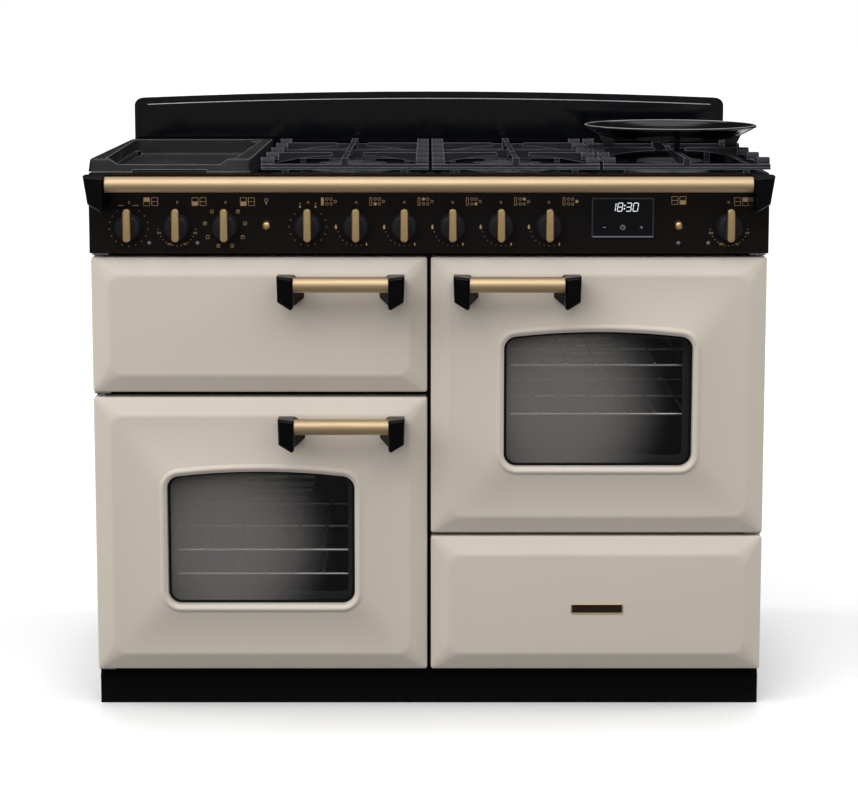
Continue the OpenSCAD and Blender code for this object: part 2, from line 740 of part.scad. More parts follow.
// Wire shelves resting on the rungs: a frame with bars from front to back
module oven_shelves() {
    half = cavity_w / 2 - ladder_in - 2 * wire_r - seat;
    y0 = ladder_y[0] - 12;
    bars = floor((half - 10) / shelf_pitch);
    color("silver")
        for (o = ovens, level = o[2]) {
            z = o[1] + rung_low + rung_pitch * level + 2 * wire_r + seat;
            for (side = [-1, 1]) rod_y(o[0] + side * half, z, wire_r, y0 - wire_r, y0 + shelf_l + wire_r);
            for (y = [y0, y0 + shelf_l / 2, y0 + shelf_l])
                rod_x(y, z, wire_r * 0.9, o[0] - half, o[0] + half);
            for (i = [-bars:bars])
                rod_y(o[0] + i * shelf_pitch, z + wire_r, wire_r * 0.7, y0 - wire_r, y0 + shelf_l + wire_r);
        }
}

// Plates in front of the fans, with a round guard of slots, standing off the back wall on four feet
module fan_covers() {
    color("gray")
        for (o = ovens) {
            cz = o[1] + oven_h / 2;
            difference() {
                plate_y(cover_y, cover_y + 1.5,
                        rounded(o[0] - cavity_w / 2 + 30, o[1] + 40, o[0] + cavity_w / 2 - 30, o[1] + oven_h - 40, 16));
                for (i = [-4:4])
                    let (l = sqrt(pow(fan_r - 10, 2) - pow(i * 13, 2)))
                    box(o[0] - l, o[0] + l, cover_y - 1, cover_y + 3, cz + i * 13 - 3.5, cz + i * 13 + 3.5);
            }
            for (x = [-1, 1], z = [-1, 1])
                rod_y(o[0] + x * (cavity_w / 2 - 45), cz + z * (oven_h / 2 - 55), 4, cover_y + 1.5, cavity_back_y);
        }
}

// Radial fan on its shaft
module fan(mid, floor_z) {
    translate([mid, cover_y + 6, floor_z + oven_h / 2]) {
        rod_y(0, 0, 16, 0, 8);
        rod_y(0, 0, fan_shaft_r, 0, fan_gap - 6 + sheet + 30);
        rod_y(0, 0, fan_r, 18, 20);
        rod_y(0, 0, 16, 8, 18);
        for (a = [0:40:320])
            rotate([0, a, 0]) translate([22, 2, -1]) cube([fan_r - 24, 16.5, 2]);
    }
}

module left_oven_fan() {
    color("silver") fan(left_mid, left_floor_z);
}

module right_oven_fan() {
    color("silver") fan(right_mid, right_floor_z);
}

// Heating rods under the grill's roof, held by the back wall
module grill_element() {
    z = grill_floor_z + grill_h - 22;
    y0 = frame_y + 40;
    color("silver") {
        for (i = [-3:3]) rod_y(left_mid + i * 52, z, 4, y0, i % 2 == 0 ? cavity_back_y : cavity_back_y - 40);
        rod_x(y0, z, 4, left_mid - 156, left_mid + 156);
        rod_x(cavity_back_y - 40, z, 4, left_mid - 156, left_mid + 156);
    }
}

// Grill pan with its wire rack, standing on the grill's floor
module grill_pan() {
    w = cavity_w - 40;
    l = 330;
    h = 34;
    y0 = frame_y + 30;
    z0 = grill_floor_z;
    color([0.15, 0.15, 0.15])
        difference() {
            plate_z(z0, z0 + h, left_mid - w / 2, y0, left_mid + w / 2, y0 + l, 18);
            plate_z(z0 + 2, z0 + h + 1, left_mid - w / 2 + 3, y0 + 3, left_mid + w / 2 - 3, y0 + l - 3, 15);
        }
    color("silver") {
        for (y = [y0 + 30, y0 + l - 30]) rod_x(y, z0 + h - 10, 3, left_mid - w / 2 + 1, left_mid + w / 2 - 1);
        for (i = [-7:7]) rod_y(left_mid + i * 24, z0 + h - 6, 2, y0 + 12, y0 + l - 12);
    }
}

// Channels that carry the drawer, on the middle wall and the right side panel
module drawer_runners() {
    y0 = frame_back;
    z = drawer_box_z + 50;
    channel = [[0, 0], [runner_w - 1, 0], [runner_w - 1, 3], [4, 3], [4, 27], [runner_w - 1, 27], [runner_w - 1, 30], [0, 30]];
    color("silver") {
        plate_y(y0, y0 + drawer_l - 20, moved(channel, sheet / 2, z));
        plate_y(y0, y0 + drawer_l - 20, moved([for (p = channel) [-p[0], p[1]]], half_w - sheet, z));
    }
}

// Steel drawer box, its slide rails and the plate that its front is fixed to
module drawer_box() {
    x = drawer_box_x;
    y0 = door_back_y - skin;
    y1 = frame_back + drawer_l;
    z = drawer_box_z;
    color("dimgray") {
        difference() {
            box(x[0], x[1], y0, y1, z, z + drawer_h);
            box(x[0] + sheet, x[1] - sheet, y0 + skin, y1 - sheet, z + sheet, z + drawer_h + 1);
        }
        plate_y(y0, door_back_y, rounded(column_gap / 2 + skin, door_z + skin, half_w - skin,
                                         door_z + drawer_front_h - skin, edge_r));
        for (s = [[x[0] - runner_w + 6, x[0]], [x[1], x[1] + runner_w - 6]])
            box(s[0], s[1], frame_back + 20, y1 - 4, z + 50 + 3 + seat, z + 50 + 27 - seat);
    }
}

module drawer_front() {
    color("antiquewhite") translate([right_mid, 0, door_z])
        difference() {
            pressing(door_w, drawer_front_h, door_d - skin - seat);
            pressing(door_w, drawer_front_h, door_d - skin - seat, skin);
        }
}

// Hinge plates in the gaps above and below the doors, with the pins that the doors turn on
module hinge_plate(side, z, thick, up, down) {
    x = side * pin_x;
    box(x - 13, x + 13, pin_y - 9, frame_y, z, z + thick);
    if (up) {
        rod_z(x, pin_y, pin_r + 3, z + thick, z + thick + hinge_washer);
        rod_z(x, pin_y, pin_r, z + thick, z + thick + pin_len);
    }
    if (down) rod_z(x, pin_y, pin_r, z - pin_len, z);
}

module door_hinges() {
    under = hinge_thick + hinge_washer + seat;
    color("silver") {
        hinge_plate(-1, door_z - under, hinge_thick, true, false);
        hinge_plate(-1, grill_door_z - under, hinge_thick, true, true);
        hinge_plate(-1, grill_door_z + grill_door_h + 2, hinge_thick, false, true);
        hinge_plate(1, right_door_z - under, hinge_thick, true, false);
        hinge_plate(1, right_door_z + oven_door_h + 2, hinge_thick, false, true);
    }
}

// Soft gasket round each oven and grill mouth, on the frame
module door_seals() {
    color([0.1, 0.1, 0.1])
        for (c = [[left_mid, left_floor_z, oven_h], [right_mid, right_floor_z, oven_h],
                  [left_mid, grill_floor_z, grill_h]])
            difference() {
                cavity_outline(c, door_back_y + 1, frame_y, 11);
                cavity_outline(c, door_back_y, frame_y + 1, 3);
            }
}

// Gas rail behind the fascia with a tap or switch for each knob, and the inlet pipe to the back
module gas_rail() {
    rail_back = face_y + 34;
    color("goldenrod")
        difference() {
            union() {
                for (x = knob_x) rod_y(x, knob_z, valve_r, face_y + 8, face_y + 30);
                rod_x(rail_back, knob_z, pipe_r, inlet_x - pipe_r - 4, knob_x[9] + valve_r);
                rod_y(inlet_x, inlet_z, pipe_r, frame_back + 10, back_y - 40);
                translate([inlet_x, frame_back + 18, inlet_z]) rod_z(0, 0, pipe_r, 0, knob_z - inlet_z);
                rod_y(inlet_x, knob_z, pipe_r, rail_back, frame_back + 18 + pipe_r);
                rod_y(inlet_x, inlet_z, inlet_r, back_y - 40, back_y - 1);
            }
            for (x = knob_x) rod_y(x, knob_z, spindle_r + run, face_y + 7, face_y + 25);
            rod_y(inlet_x, inlet_z, inlet_bore, back_y - 30, back_y);
        }
}

// Knob with a skirted disc, a grip bar that points to the mark, and its spindle
module knob(i) {
    bar_half = 6.5;
    bar_up = 31;
    bar_down = 22;
    color([0.15, 0.15, 0.17])
        translate([knob_x[i], face_y, knob_z]) {
            rotate([90, 0, 0]) rotate_extrude()
                polygon([[0, 1], [knob_r, 1], [knob_r, 5], [knob_r - 1.5, 7], [knob_r - 2.5, 15], [knob_r - 4, 17], [0, 17]]);
            plate_y(-28, -2, rounded(-bar_half, -bar_down, bar_half, bar_up, bar_half - 0.5, 6));
            rod_y(0, 0, spindle_r, -2, 24);
        }
}

// Domed push button and its stem, which stops on the fascia's back
module push_button(x) {
    stem = 14;
    color("goldenrod")
        translate([x, face_y, button_z]) rotate([90, 0, 0]) rotate_extrude()
            polygon([[0, -stem], [button_r, -stem], [button_r, button_travel + 1],
                     [button_r - 1, button_travel + 2.6], [button_r * 0.5, button_travel + 3.8], [0, button_travel + 4.2]]);
}

module grill_door_skin() {
    color("antiquewhite") translate([left_mid, 0, grill_door_z]) door_skin(grill_door_h, -1, false);
}

module grill_door_liner() {
    color("gray") translate([left_mid, 0, grill_door_z]) door_liner(grill_door_h, -1, false);
}

module oven_door_at(side) {
    translate([side * right_mid, 0, side < 0 ? door_z : right_door_z]) children();
}

module oven_door_skin(side) {
    color("antiquewhite") oven_door_at(side) door_skin(oven_door_h, side, true);
}

module oven_door_liner(side) {
    color("gray") oven_door_at(side) door_liner(oven_door_h, side, true);
}

module oven_door_glass(side) {
    color([0.3, 0.3, 0.3, 0.5]) oven_door_at(side) door_glass();
}

// S-curve in X and Z that falls by h from x0 to x1, which may lie either way round
function fall(x0, x1, z, h, n = 6) = [for (i = [0:n]) [x0 + (x1 - x0) * i / n, z - h * smooth(i / n)]];

// Outline whose corners become curves that start r before each corner and end r after it
function soft(pts, r, n = 5) =
    let (m = len(pts))
    [for (i = [0:m - 1], k = [0:n])
        let (p = pts[i], u = pts[(i + m - 1) % m] - p, v = pts[(i + 1) % m] - p, t = k / n)
        p + r * (pow(1 - t, 2) * u / norm(u) + t * t * v / norm(v))];

// Cast griddle: a deep tray whose sides draw in upwards, with side rims that narrow to the back,
// a dip in its front wall and a slot under it
module griddle() {
    x0 = griddle_x;
    x1 = x0 + griddle_w;
    y0 = support_y0 + 4;
    y1 = y0 + griddle_l;
    foot = hob_z + seat;
    top = hob_z + griddle_rise;
    floor_z = tray_floor_z + griddle_floor;
    well = floor_z - griddle_base;
    left = x0 + griddle_horn;
    right = x1 - griddle_horn - 3;
    dip = concat([[left, top + 1]], fall(left, left + griddle_slope, top, griddle_dip),
                 [for (i = [6:-1:0]) fall(right, right - griddle_slope, top, griddle_dip)[i]], [[right, top + 1]]);
    draws = [[top, 4], [top - 2, 2.5], [foot, 0]];
    pocket = [[x1 - griddle_side, y0 + griddle_front], [x1 - griddle_rim, y1 - griddle_rim],
              [x0 + griddle_narrow, y1 - griddle_rim], [x0 + griddle_side, y0 + griddle_front]];
    inwards = [[-1, 1], [-1, -1], [1, -1], [1, 1]];
    color([0.16, 0.16, 0.16]) {
        difference() {
            union() {
                loft([for (d = draws) laid(rounded(x0 + d[1], y0 + d[1], x1 - d[1] / 2, y1 - d[1] / 2, 7), d[0])]);
                plate_z(well, foot + 1, x0 + 22, y0 + 20, x1 - 4, y1 - 4, 12);
            }
            loft([for (d = [[top + 1, 0], [floor_z + 2, 0], [floor_z, 2]])
                laid(soft(pocket + d[1] * inwards, 16), d[0])]);
            plate_y(y0 - 1, y0 + griddle_front + 6, dip);
            box(x0 + griddle_slot, x1 - griddle_slot, y0 - 1, y0 + 10, hob_z, hob_z + 3.5);
        }
        rod_z(x1 - griddle_rim - 10, y1 - griddle_rim - 10, 8, floor_z, top - 3);
        for (x = [x0 + 50, x1 - 40], y = [y0 + 50, y1 - 40]) rod_z(x, y, 8, tray_floor_z + seat, well);
    }
}

// Tapered finger: from its block on the side rail to its tip near the burner
module finger(length, root, tip, width) {
    rotate([90, 0, 0]) translate([0, 0, -width / 2]) linear_extrude(width)
        polygon(concat([[0, 0], [length - 3, 0], [length, -2]],
                       [for (t = [1:-0.125:0]) [length * t, -tip - (root - tip) * pow(1 - t, 2)]]));
}

// Cast pan support: low rails all round, raised blocks on the sides, fingers that point at each burner
module pan_support(i) {
    w = support_w;
    l = support_l;
    rail_h = 9;
    rail_w = 11;
    low = support_rise - 19;
    mid_z = low + rail_h;
    top = support_rise;
    block_w = 20;
    block_l = 18;
    finger_w = 8;
    tip_gap = 26;
    step = (l - 2 * block_l - 10) / (blocks - 1);
    centres = [for (b = burners) if (b[0] == support_x[i]) b[1] - support_y0];
    feet_y = [0.5, l - 10.5];
    foot_low = tray_floor_z - hob_z + seat;
    color([0.2, 0.2, 0.24])
        translate([support_x[i], support_y0, hob_z]) {
            plate_x(-w / 2, w / 2, [[0, low], [0, low + 3], [1.5, low + 4], [1.5, mid_z - 1], [2.5, mid_z],
                                    [rail_w, mid_z], [rail_w, low]]);
            box(-w / 2, w / 2, l - rail_w, l, low, mid_z);
            for (side = [-1, 1])
                scale([side, 1, 1]) {
                    box(w / 2 - rail_w - 3, w / 2 - 3, rail_w, l - rail_w, low, mid_z);
                    for (k = [0:blocks - 1])
                        translate([0, k * step + rail_w - 2, 0])
                            plate_x(w / 2 - block_w, w / 2,
                                    [[0, mid_z - 2], [0, mid_z + 3], [1, top - 2], [3, top], [block_l - 1, top],
                                     [block_l + 1, top - 2], [block_l + 3, mid_z - 2]]);
                    for (y = feet_y) box(w / 2 - 44, w / 2 - 34, y, y + 10, foot_low, low);
                }
            for (c = centres, a = [0, 180])
                translate([(a == 0 ? -1 : 1) * (w / 2 - rail_w), c, top]) rotate([0, 0, a])
                    finger(w / 2 - rail_w - tip_gap, top - low, 6, finger_w);
            spans = concat([rail_w / 2], [for (c = centres) each [c - tip_gap, c + tip_gap]], [l - rail_w / 2]);
            for (k = [0:2:len(spans) - 1]) spine(spans[k], spans[k + 1], k == 0, k == len(spans) - 2, low, top, finger_w);
            if (len(centres) == 2) box(-w / 2 + rail_w, w / 2 - rail_w, l / 2 - 4, l / 2 + 4, low, top - 4);
        }
}

// Stretch of the middle bar from y0 to y1, deep at the rails and shallow at a burner
module spine(y0, y1, first, last, low, top, width) {
    a = first ? low : top - 7;
    b = last ? low : top - 7;
    plate_x(-width / 2, width / 2, [[y0, a], [y0, top], [y1, top], [y1, b], [(y0 + y1) / 2, low + 3]]);
    if (first) box(-width * 0.7, width * 0.7, y0 - 4, y0 + 8, low, top);
    if (last) box(-width * 0.7, width * 0.7, y1 - 8, y1 + 4, low, top);
}

// Height of the wok ring's underside at a radius: flat out to wok_bowl, then a power of the share of the way
function wok_under(r) = wok_low + (wok_rise - 5 - wok_low) * pow(max(0, r - wok_bowl) / (wok_r - 3 - wok_bowl), 1.6);

// Wok ring: a shallow dish with a rolled rim and an open middle, on four feet that sit on the pan support
module wok_ring() {
    under = [for (i = [0:7]) wok_bowl + (wok_r - 3 - wok_bowl) * i / 7];
    over = [for (i = [7:-1:0]) wok_bowl - 2 + (wok_r - 4 - wok_bowl) * i / 7];
    color([0.08, 0.08, 0.09])
        translate([support_x[2], burners[4][1], support_z]) {
            rotate_extrude($fn = 72)
                polygon(concat([[wok_inner, wok_low]], [for (r = under) [r, wok_under(r)]],
                               [[wok_r - 0.5, wok_rise - 4], [wok_r, wok_rise - 2], [wok_r - 1, wok_rise - 0.5],
                                [wok_r - 3, wok_rise]],
                               [for (r = over) [r, wok_under(r + 1) + wok_wall]], [[wok_inner, wok_low + wok_wall]]));
            for (a = [0:90:270])
                rotate([0, 0, a]) wok_foot();
        }
}

// Foot of the wok ring, from the pan support up into the dish's wall
module wok_foot() {
    rotate([90, 0, 0]) translate([0, 0, -4]) linear_extrude(8)
        polygon([[wok_bowl, seat], [wok_bowl + 16, seat], [wok_bowl + 28, wok_under(wok_bowl + 28) + 1.2],
                 [wok_bowl + 14, wok_under(wok_bowl + 14) + 1.2], [wok_bowl, wok_low + 1.2]]);
}

chassis();
levelling_feet();
outer_panels();
plinth();
control_panel();
clock_display();
indicator_lamps();
handrail_tube();
handrail_brackets();
splashback();
hob_tray();
burner_heads();
burner_caps();
left_oven_cavity();
right_oven_cavity();
grill_cavity();
shelf_ladders();
oven_shelves();
fan_covers();
grill_element();
grill_pan();
drawer_runners();
door_hinges();
door_seals();
gas_rail();
knob(0);  // knob_1
knob(1);  // knob_2
knob(2);  // knob_3
knob(3);  // knob_4
knob(4);  // knob_5
knob(5);  // knob_6
knob(6);  // knob_7
knob(7);  // knob_8
knob(8);  // knob_9
knob(9);  // knob_10
push_button(light_x);  // light_button
push_button(timer_x);  // timer_button
grill_door_skin();
grill_door_liner();
color("goldenrod") handle_bar(grill_door_z, grill_door_h, -1);  // grill_door_handle
color("black") handle_brackets(grill_door_z, grill_door_h, -1);  // grill_door_brackets
oven_door_skin(-1);  // left_door_skin
oven_door_liner(-1);  // left_door_liner
oven_door_glass(-1);  // left_door_glass
color("goldenrod") handle_bar(door_z, oven_door_h, -1);  // left_door_handle
color("black") handle_brackets(door_z, oven_door_h, -1);  // left_door_brackets
oven_door_skin(1);  // right_door_skin
oven_door_liner(1);  // right_door_liner
oven_door_glass(1);  // right_door_glass
color("goldenrod") handle_bar(right_door_z, oven_door_h, 1);  // right_door_handle
color("black") handle_brackets(right_door_z, oven_door_h, 1);  // right_door_brackets
drawer_front();
drawer_box();
griddle();
pan_support(0);  // pan_support_left
pan_support(1);  // pan_support_centre
pan_support(2);  // pan_support_right
wok_ring();
left_oven_fan();
right_oven_fan();
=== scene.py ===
"""Looks of a 110 cm range cooker: enamelled fronts, brass rails, cast hob, dials and windows.

Every piece is worked out in metres in the frame's own axes: X to the right, Y to the back, Z up.
"""

import json
import logging
import math
from dataclasses import dataclass, field
from enum import Enum
from typing import Any, Callable, Iterable, Sequence

import bmesh
import bpy
import numpy as np
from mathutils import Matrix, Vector


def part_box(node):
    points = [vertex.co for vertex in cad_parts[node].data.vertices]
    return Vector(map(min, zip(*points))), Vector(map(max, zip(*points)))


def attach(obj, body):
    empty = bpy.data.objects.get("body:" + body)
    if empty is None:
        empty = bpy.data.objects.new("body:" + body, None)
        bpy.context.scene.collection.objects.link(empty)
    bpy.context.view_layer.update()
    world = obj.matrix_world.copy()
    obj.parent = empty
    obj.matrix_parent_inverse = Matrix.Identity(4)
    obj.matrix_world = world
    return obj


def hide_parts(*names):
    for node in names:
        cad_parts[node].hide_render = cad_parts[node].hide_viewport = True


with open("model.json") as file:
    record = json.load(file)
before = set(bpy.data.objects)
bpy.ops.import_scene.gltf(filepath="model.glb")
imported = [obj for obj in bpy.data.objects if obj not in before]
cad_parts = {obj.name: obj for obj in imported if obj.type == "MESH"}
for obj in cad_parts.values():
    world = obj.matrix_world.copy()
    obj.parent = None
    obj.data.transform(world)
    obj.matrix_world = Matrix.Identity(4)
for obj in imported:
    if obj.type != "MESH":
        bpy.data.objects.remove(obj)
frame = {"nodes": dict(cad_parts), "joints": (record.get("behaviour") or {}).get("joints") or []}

LOG = logging.getLogger("range_cooker")
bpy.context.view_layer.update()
Array = np.ndarray
Colour = tuple[float, float, float]
Layer = tuple[np.ndarray, float]


def srgb(red: int, green: int, blue: int) -> Colour:
    """Turns a colour of 0 to 255 a channel into the linear values that shaders take."""
    levels = np.array([red, green, blue]) / 255.0
    linear = np.where(levels <= 0.04045, levels / 12.92, ((levels + 0.055) / 1.055) ** 2.4)
    return tuple(float(v) for v in linear)


class Box:
    """The bounding box of a CAD node: its edges, middle and size in metres."""

    def __init__(self, node: str) -> None:
        """Reads the box from the frame."""
        low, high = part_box(node)
        self.left, self.front, self.foot = map(float, low)
        self.right, self.back, self.top = map(float, high)
        self.x, self.z = (self.left + self.right) / 2, (self.foot + self.top) / 2
        self.width, self.height = self.right - self.left, self.top - self.foot


def pivot(body: str) -> tuple[float, float]:
    """X and z of the axis on which a body turns or slides."""
    joint = next(j for j in frame["joints"] if j["child"] == body)
    return joint["pos_m"][0], joint["pos_m"][2]


FACE_Y = Box("control_panel").front


def maths(operation: str, swapped: bool = False) -> Callable[["Sock", Any], "Sock"]:
    """Makes a method of Sock that adds one Math node.

    Args:
        operation: the Math node's operation.
        swapped: takes the other value first, as in other - self.

    Returns:
        The method: from self and another value, a number or Sock, to the node's value.
    """
    def method(self: "Sock", other: Any) -> "Sock":
        """The value of the node added for self and other."""
        values = (other, self) if swapped else (self, other)
        node = self.graph.node("ShaderNodeMath", {"operation": operation}, dict(enumerate(values)))
        return Sock(self.graph, node.outputs[0])

    return method


class Sock:
    """A shader value that adds Math nodes as it takes part in an expression."""

    def __init__(self, graph: "Graph", link: Any) -> None:
        """Keeps the graph and the output socket that holds the value."""
        self.graph = graph
        self.link = link

    __add__ = __radd__ = maths("ADD")
    __mul__ = __rmul__ = maths("MULTIPLY")
    __sub__ = maths("SUBTRACT")
    __rsub__ = maths("SUBTRACT", swapped=True)
    larger = maths("MAXIMUM")

    def span(self, low: float, high: float) -> "Sock":
        """0 under low, 1 over high and smooth between them."""
        node = self.graph.node("ShaderNodeMapRange", {"interpolation_type": "SMOOTHSTEP"},
                               {"Value": self, "From Min": low, "From Max": high})
        return Sock(self.graph, node.outputs[0])


class Graph:
    """The node tree of one material or world."""

    def __init__(self, tree: Any) -> None:
        """Takes an empty or default node tree."""
        self.tree = tree

    def node(self, kind: str, settings: dict[str, Any] | None = None,
             sockets: dict[Any, Any] | None = None) -> Any:
        """Adds any node.

        Args:
            kind: the node's type.
            settings: its properties, set before its sockets.
            sockets: values, sockets or Sock for its inputs, by name or number.

        Returns:
            The node.
        """
        made = self.tree.nodes.new(kind)
        for key, value in (settings or {}).items():
            setattr(made, key, value)
        for key, value in (sockets or {}).items():
            value = value.link if isinstance(value, Sock) else value
            if isinstance(value, bpy.types.NodeSocket):
                self.tree.links.new(value, made.inputs[key])
            else:
                made.inputs[key].default_value = value
        return made

    def place(self, scale: Sequence[float] = (1.0, 1.0, 1.0)) -> Any:
        """Object coordinates in metres, stretched by scale."""
        where = self.node("ShaderNodeTexCoord")
        return self.node("ShaderNodeMapping", None,
                         {"Vector": where.outputs["Object"], "Scale": scale}).outputs[0]

    def axis(self, letter: str) -> Sock:
        """One of the object coordinates, X, Y or Z."""
        where = self.node("ShaderNodeTexCoord")
        split = self.node("ShaderNodeSeparateXYZ", None, {0: where.outputs["Object"]})
        return Sock(self, split.outputs[letter])

    def noise(self, scale: float, detail: float = 4.0, stretch: Sequence[float] = (1.0, 1.0, 1.0),
              roughness: float = 0.55) -> Sock:
        """Cloudy noise from 0 to 1, with so many cells to the metre."""
        made = self.node("ShaderNodeTexNoise", None,
                         {"Vector": self.place(stretch), "Scale": scale, "Detail": detail,
                          "Roughness": roughness})
        return Sock(self, made.outputs[0])

    def mix(self, factor: Any, low: Any, high: Any) -> Any:
        """Colour that goes from low to high with the factor."""
        ends = {key: end if isinstance(end, bpy.types.NodeSocket) else (*end, 1.0)
                for key, end in ((6, low), (7, high))}
        return self.node("ShaderNodeMix", {"data_type": "RGBA"}, {"Factor": factor, **ends}).outputs[2]

    def edge(self, radius: float) -> Sock:
        """How far a normal rounded over the radius leans from the true one: 0 on a flat, 1 at an edge."""
        soft = self.node("ShaderNodeBevel", {"samples": 6}, {"Radius": radius})
        true = self.node("ShaderNodeNewGeometry")
        both = self.node("ShaderNodeVectorMath", {"operation": "DOT_PRODUCT"},
                         {0: soft.outputs[0], 1: true.outputs["True Normal"]})
        return (1.0 - Sock(self, both.outputs["Value"])).span(0.01, 0.16)

    def bump(self, height: Any, strength: float, distance: float, under: Any = None) -> Any:
        """Normal that tilts with a height map; under is a normal that it is laid on."""
        sockets = {"Height": height, "Strength": strength, "Distance": distance}
        sockets |= {} if under is None else {"Normal": under}
        return self.node("ShaderNodeBump", None, sockets).outputs[0]

    def feed(self, shader: Any, inputs: dict[str, Any]) -> None:
        """Links values or sockets to a shader's inputs, by name."""
        for name, value in inputs.items():
            self.tree.links.new(value.link if isinstance(value, Sock) else value, shader.inputs[name])


@dataclass(frozen=True)
class Finish:
    """A plain coat that every other finish starts from.

    Attributes:
        name: the material's name.
        colour: the base colour, linear.
        roughness: how matt the surface is.
        metallic: 1 for bare metal.
        specular: strength of the reflection of a non-metal.
        coat: strength of a clear coat.
        coat_rough: how matt that coat is.
    """

    name: str
    colour: Colour
    roughness: float = 0.4
    metallic: float = 0.0
    specular: float = 0.5
    coat: float = 0.0
    coat_rough: float = 0.12

    def shaded(self, share: float) -> Colour:
        """The base colour, darkened to a share of itself."""
        return tuple(share * c for c in self.colour)

    def dress(self, graph: Graph, shader: Any) -> None:
        """Adds what varies over the surface: a faint mottling of colour and gloss."""
        cloud = graph.noise(9.0)
        graph.feed(shader, {"Base Color": graph.mix(cloud, self.shaded(0.93), self.colour),
                            "Roughness": self.roughness * (0.94 + 0.12 * cloud)})

    def material(self) -> bpy.types.Material:
        """The finish as a material, made once, under a name that none of the frame's own materials has."""
        name = f"finish_{self.name}"
        made = bpy.data.materials.get(name)
        if made is not None:
            return made
        made = bpy.data.materials.new(name)
        made.use_nodes = True
        made.diffuse_color = (*self.colour, 1.0)
        shader = made.node_tree.nodes["Principled BSDF"]
        for socket, value in {"Base Color": (*self.colour, 1.0), "Roughness": self.roughness,
                              "Metallic": self.metallic, "Specular IOR Level": self.specular,
                              "Coat Weight": self.coat, "Coat Roughness": self.coat_rough}.items():
            shader.inputs[socket].default_value = value
        self.dress(Graph(made.node_tree), shader)
        return made


@dataclass(frozen=True)
class Enamel(Finish):
    """Sprayed and fired enamel: a slight orange peel under a gloss, with a soft drift of tone.

    Attributes:
        peel: depth of the orange peel in metres.
    """

    peel: float = 0.00003

    def dress(self, graph: Graph, shader: Any) -> None:
        """Adds the drift of tone and the orange peel."""
        graph.feed(shader, {"Base Color": graph.mix(graph.noise(2.2, 2.0), self.shaded(0.955), self.colour),
                            "Roughness": self.roughness * (0.9 + 0.2 * graph.noise(14.0, 3.0)),
                            "Normal": graph.bump(graph.noise(260.0, 2.0), 0.35, self.peel)})


@dataclass(frozen=True)
class TwoToneEnamel(Enamel):
    """Enamel that has another colour over some height, such as a pale rim that is a painted highlight.

    Attributes:
        change: that height, in metres.
        upper: the colour over it.
    """

    change: float = 0.0
    upper: Colour = (0.4, 0.4, 0.4)

    def dress(self, graph: Graph, shader: Any) -> None:
        """Lays the upper colour over the enamel, unevenly."""
        super().dress(graph, shader)
        skin = shader.inputs["Base Color"].links[0].from_socket
        share = (graph.axis("Z") - self.change).span(0.0, 0.0006) * (0.5 + 0.5 * graph.noise(40.0))
        graph.feed(shader, {"Base Color": graph.mix(share, skin, self.upper)})


@dataclass(frozen=True)
class SpeckledEnamel(Finish):
    """Oven enamel: dark, glossy, with fine pale specks."""

    def dress(self, graph: Graph, shader: Any) -> None:
        """Adds the specks from the cells of a fine Voronoi pattern."""
        cells = graph.node("ShaderNodeTexVoronoi", None, {"Vector": graph.place(), "Scale": 700.0})
        speck = 1.0 - Sock(graph, cells.outputs["Distance"]).span(0.08, 0.16)
        pale = tuple(min(1.0, 4.0 * c + 0.04) for c in self.colour)
        graph.feed(shader, {"Base Color": graph.mix(speck * 0.6, self.colour, pale),
                            "Roughness": self.roughness * (0.85 + 0.3 * graph.noise(30.0))})


@dataclass(frozen=True)
class BrushedMetal(Finish):
    """Metal with fine brush lines along one axis.

    Attributes:
        along: the axis that the lines follow.
        lines: lines to the metre across that axis.
    """

    metallic: float = 1.0
    along: str = "X"
    lines: float = 900.0

    def dress(self, graph: Graph, shader: Any) -> None:
        """Adds the brush lines to the gloss, the tone and the surface."""
        stretch = [0.02 if letter == self.along else 1.0 for letter in "XYZ"]
        line = graph.noise(self.lines, 3.0, stretch, 0.7)
        tarnish = graph.noise(7.0)
        graph.feed(shader, {
            "Base Color": graph.mix(0.35 * tarnish + 0.35 * line, self.colour, self.shaded(0.8)),
            "Roughness": self.roughness + 0.16 * (line - 0.5) + 0.06 * tarnish,
            "Normal": graph.bump(line, 0.12, 0.0002)})


@dataclass(frozen=True)
class CastIron(Finish):
    """Sand-cast iron: a grainy skin with shallow pits and worn, greyer places, and a painted highlight along
    its edges where edge is set.

    Attributes:
        grain: depth of the grain in metres.
        worn: colour of the worn places.
        wear: how much of the surface is worn.
        edge_highlight: colour of the painted highlight laid along the edges, for the light that the edges
            catch.
        edge: how far in from an edge it reaches, in metres.
    """

    grain: float = 0.0003
    worn: Colour = (0.09, 0.09, 0.095)
    wear: float = 0.35
    edge_highlight: Colour = (0.09, 0.09, 0.095)
    edge: float = 0.0

    def dress(self, graph: Graph, shader: Any) -> None:
        """Adds grain, pits, wear and the painted edge highlight."""
        grain = graph.noise(900.0, roughness=0.7)
        lumps = graph.noise(120.0, 3.0)
        wear = graph.noise(16.0, 5.0).span(0.62 - 0.3 * self.wear, 0.8)
        skin = graph.mix(wear * 0.7 + 0.2 * grain, self.colour, self.worn)
        # Painted highlight: the edges are lightened towards a pale colour, as if they caught the light.
        if self.edge > 0.0:
            skin = graph.mix(graph.edge(self.edge) * (0.35 + lumps), skin, self.edge_highlight)
        coarse = graph.bump(lumps, 0.25, self.grain * 2)
        graph.feed(shader, {"Base Color": skin,
                            "Roughness": self.roughness + 0.18 * (grain - 0.5) - 0.08 * wear,
                            "Normal": graph.bump(grain, 0.5, self.grain, coarse)})


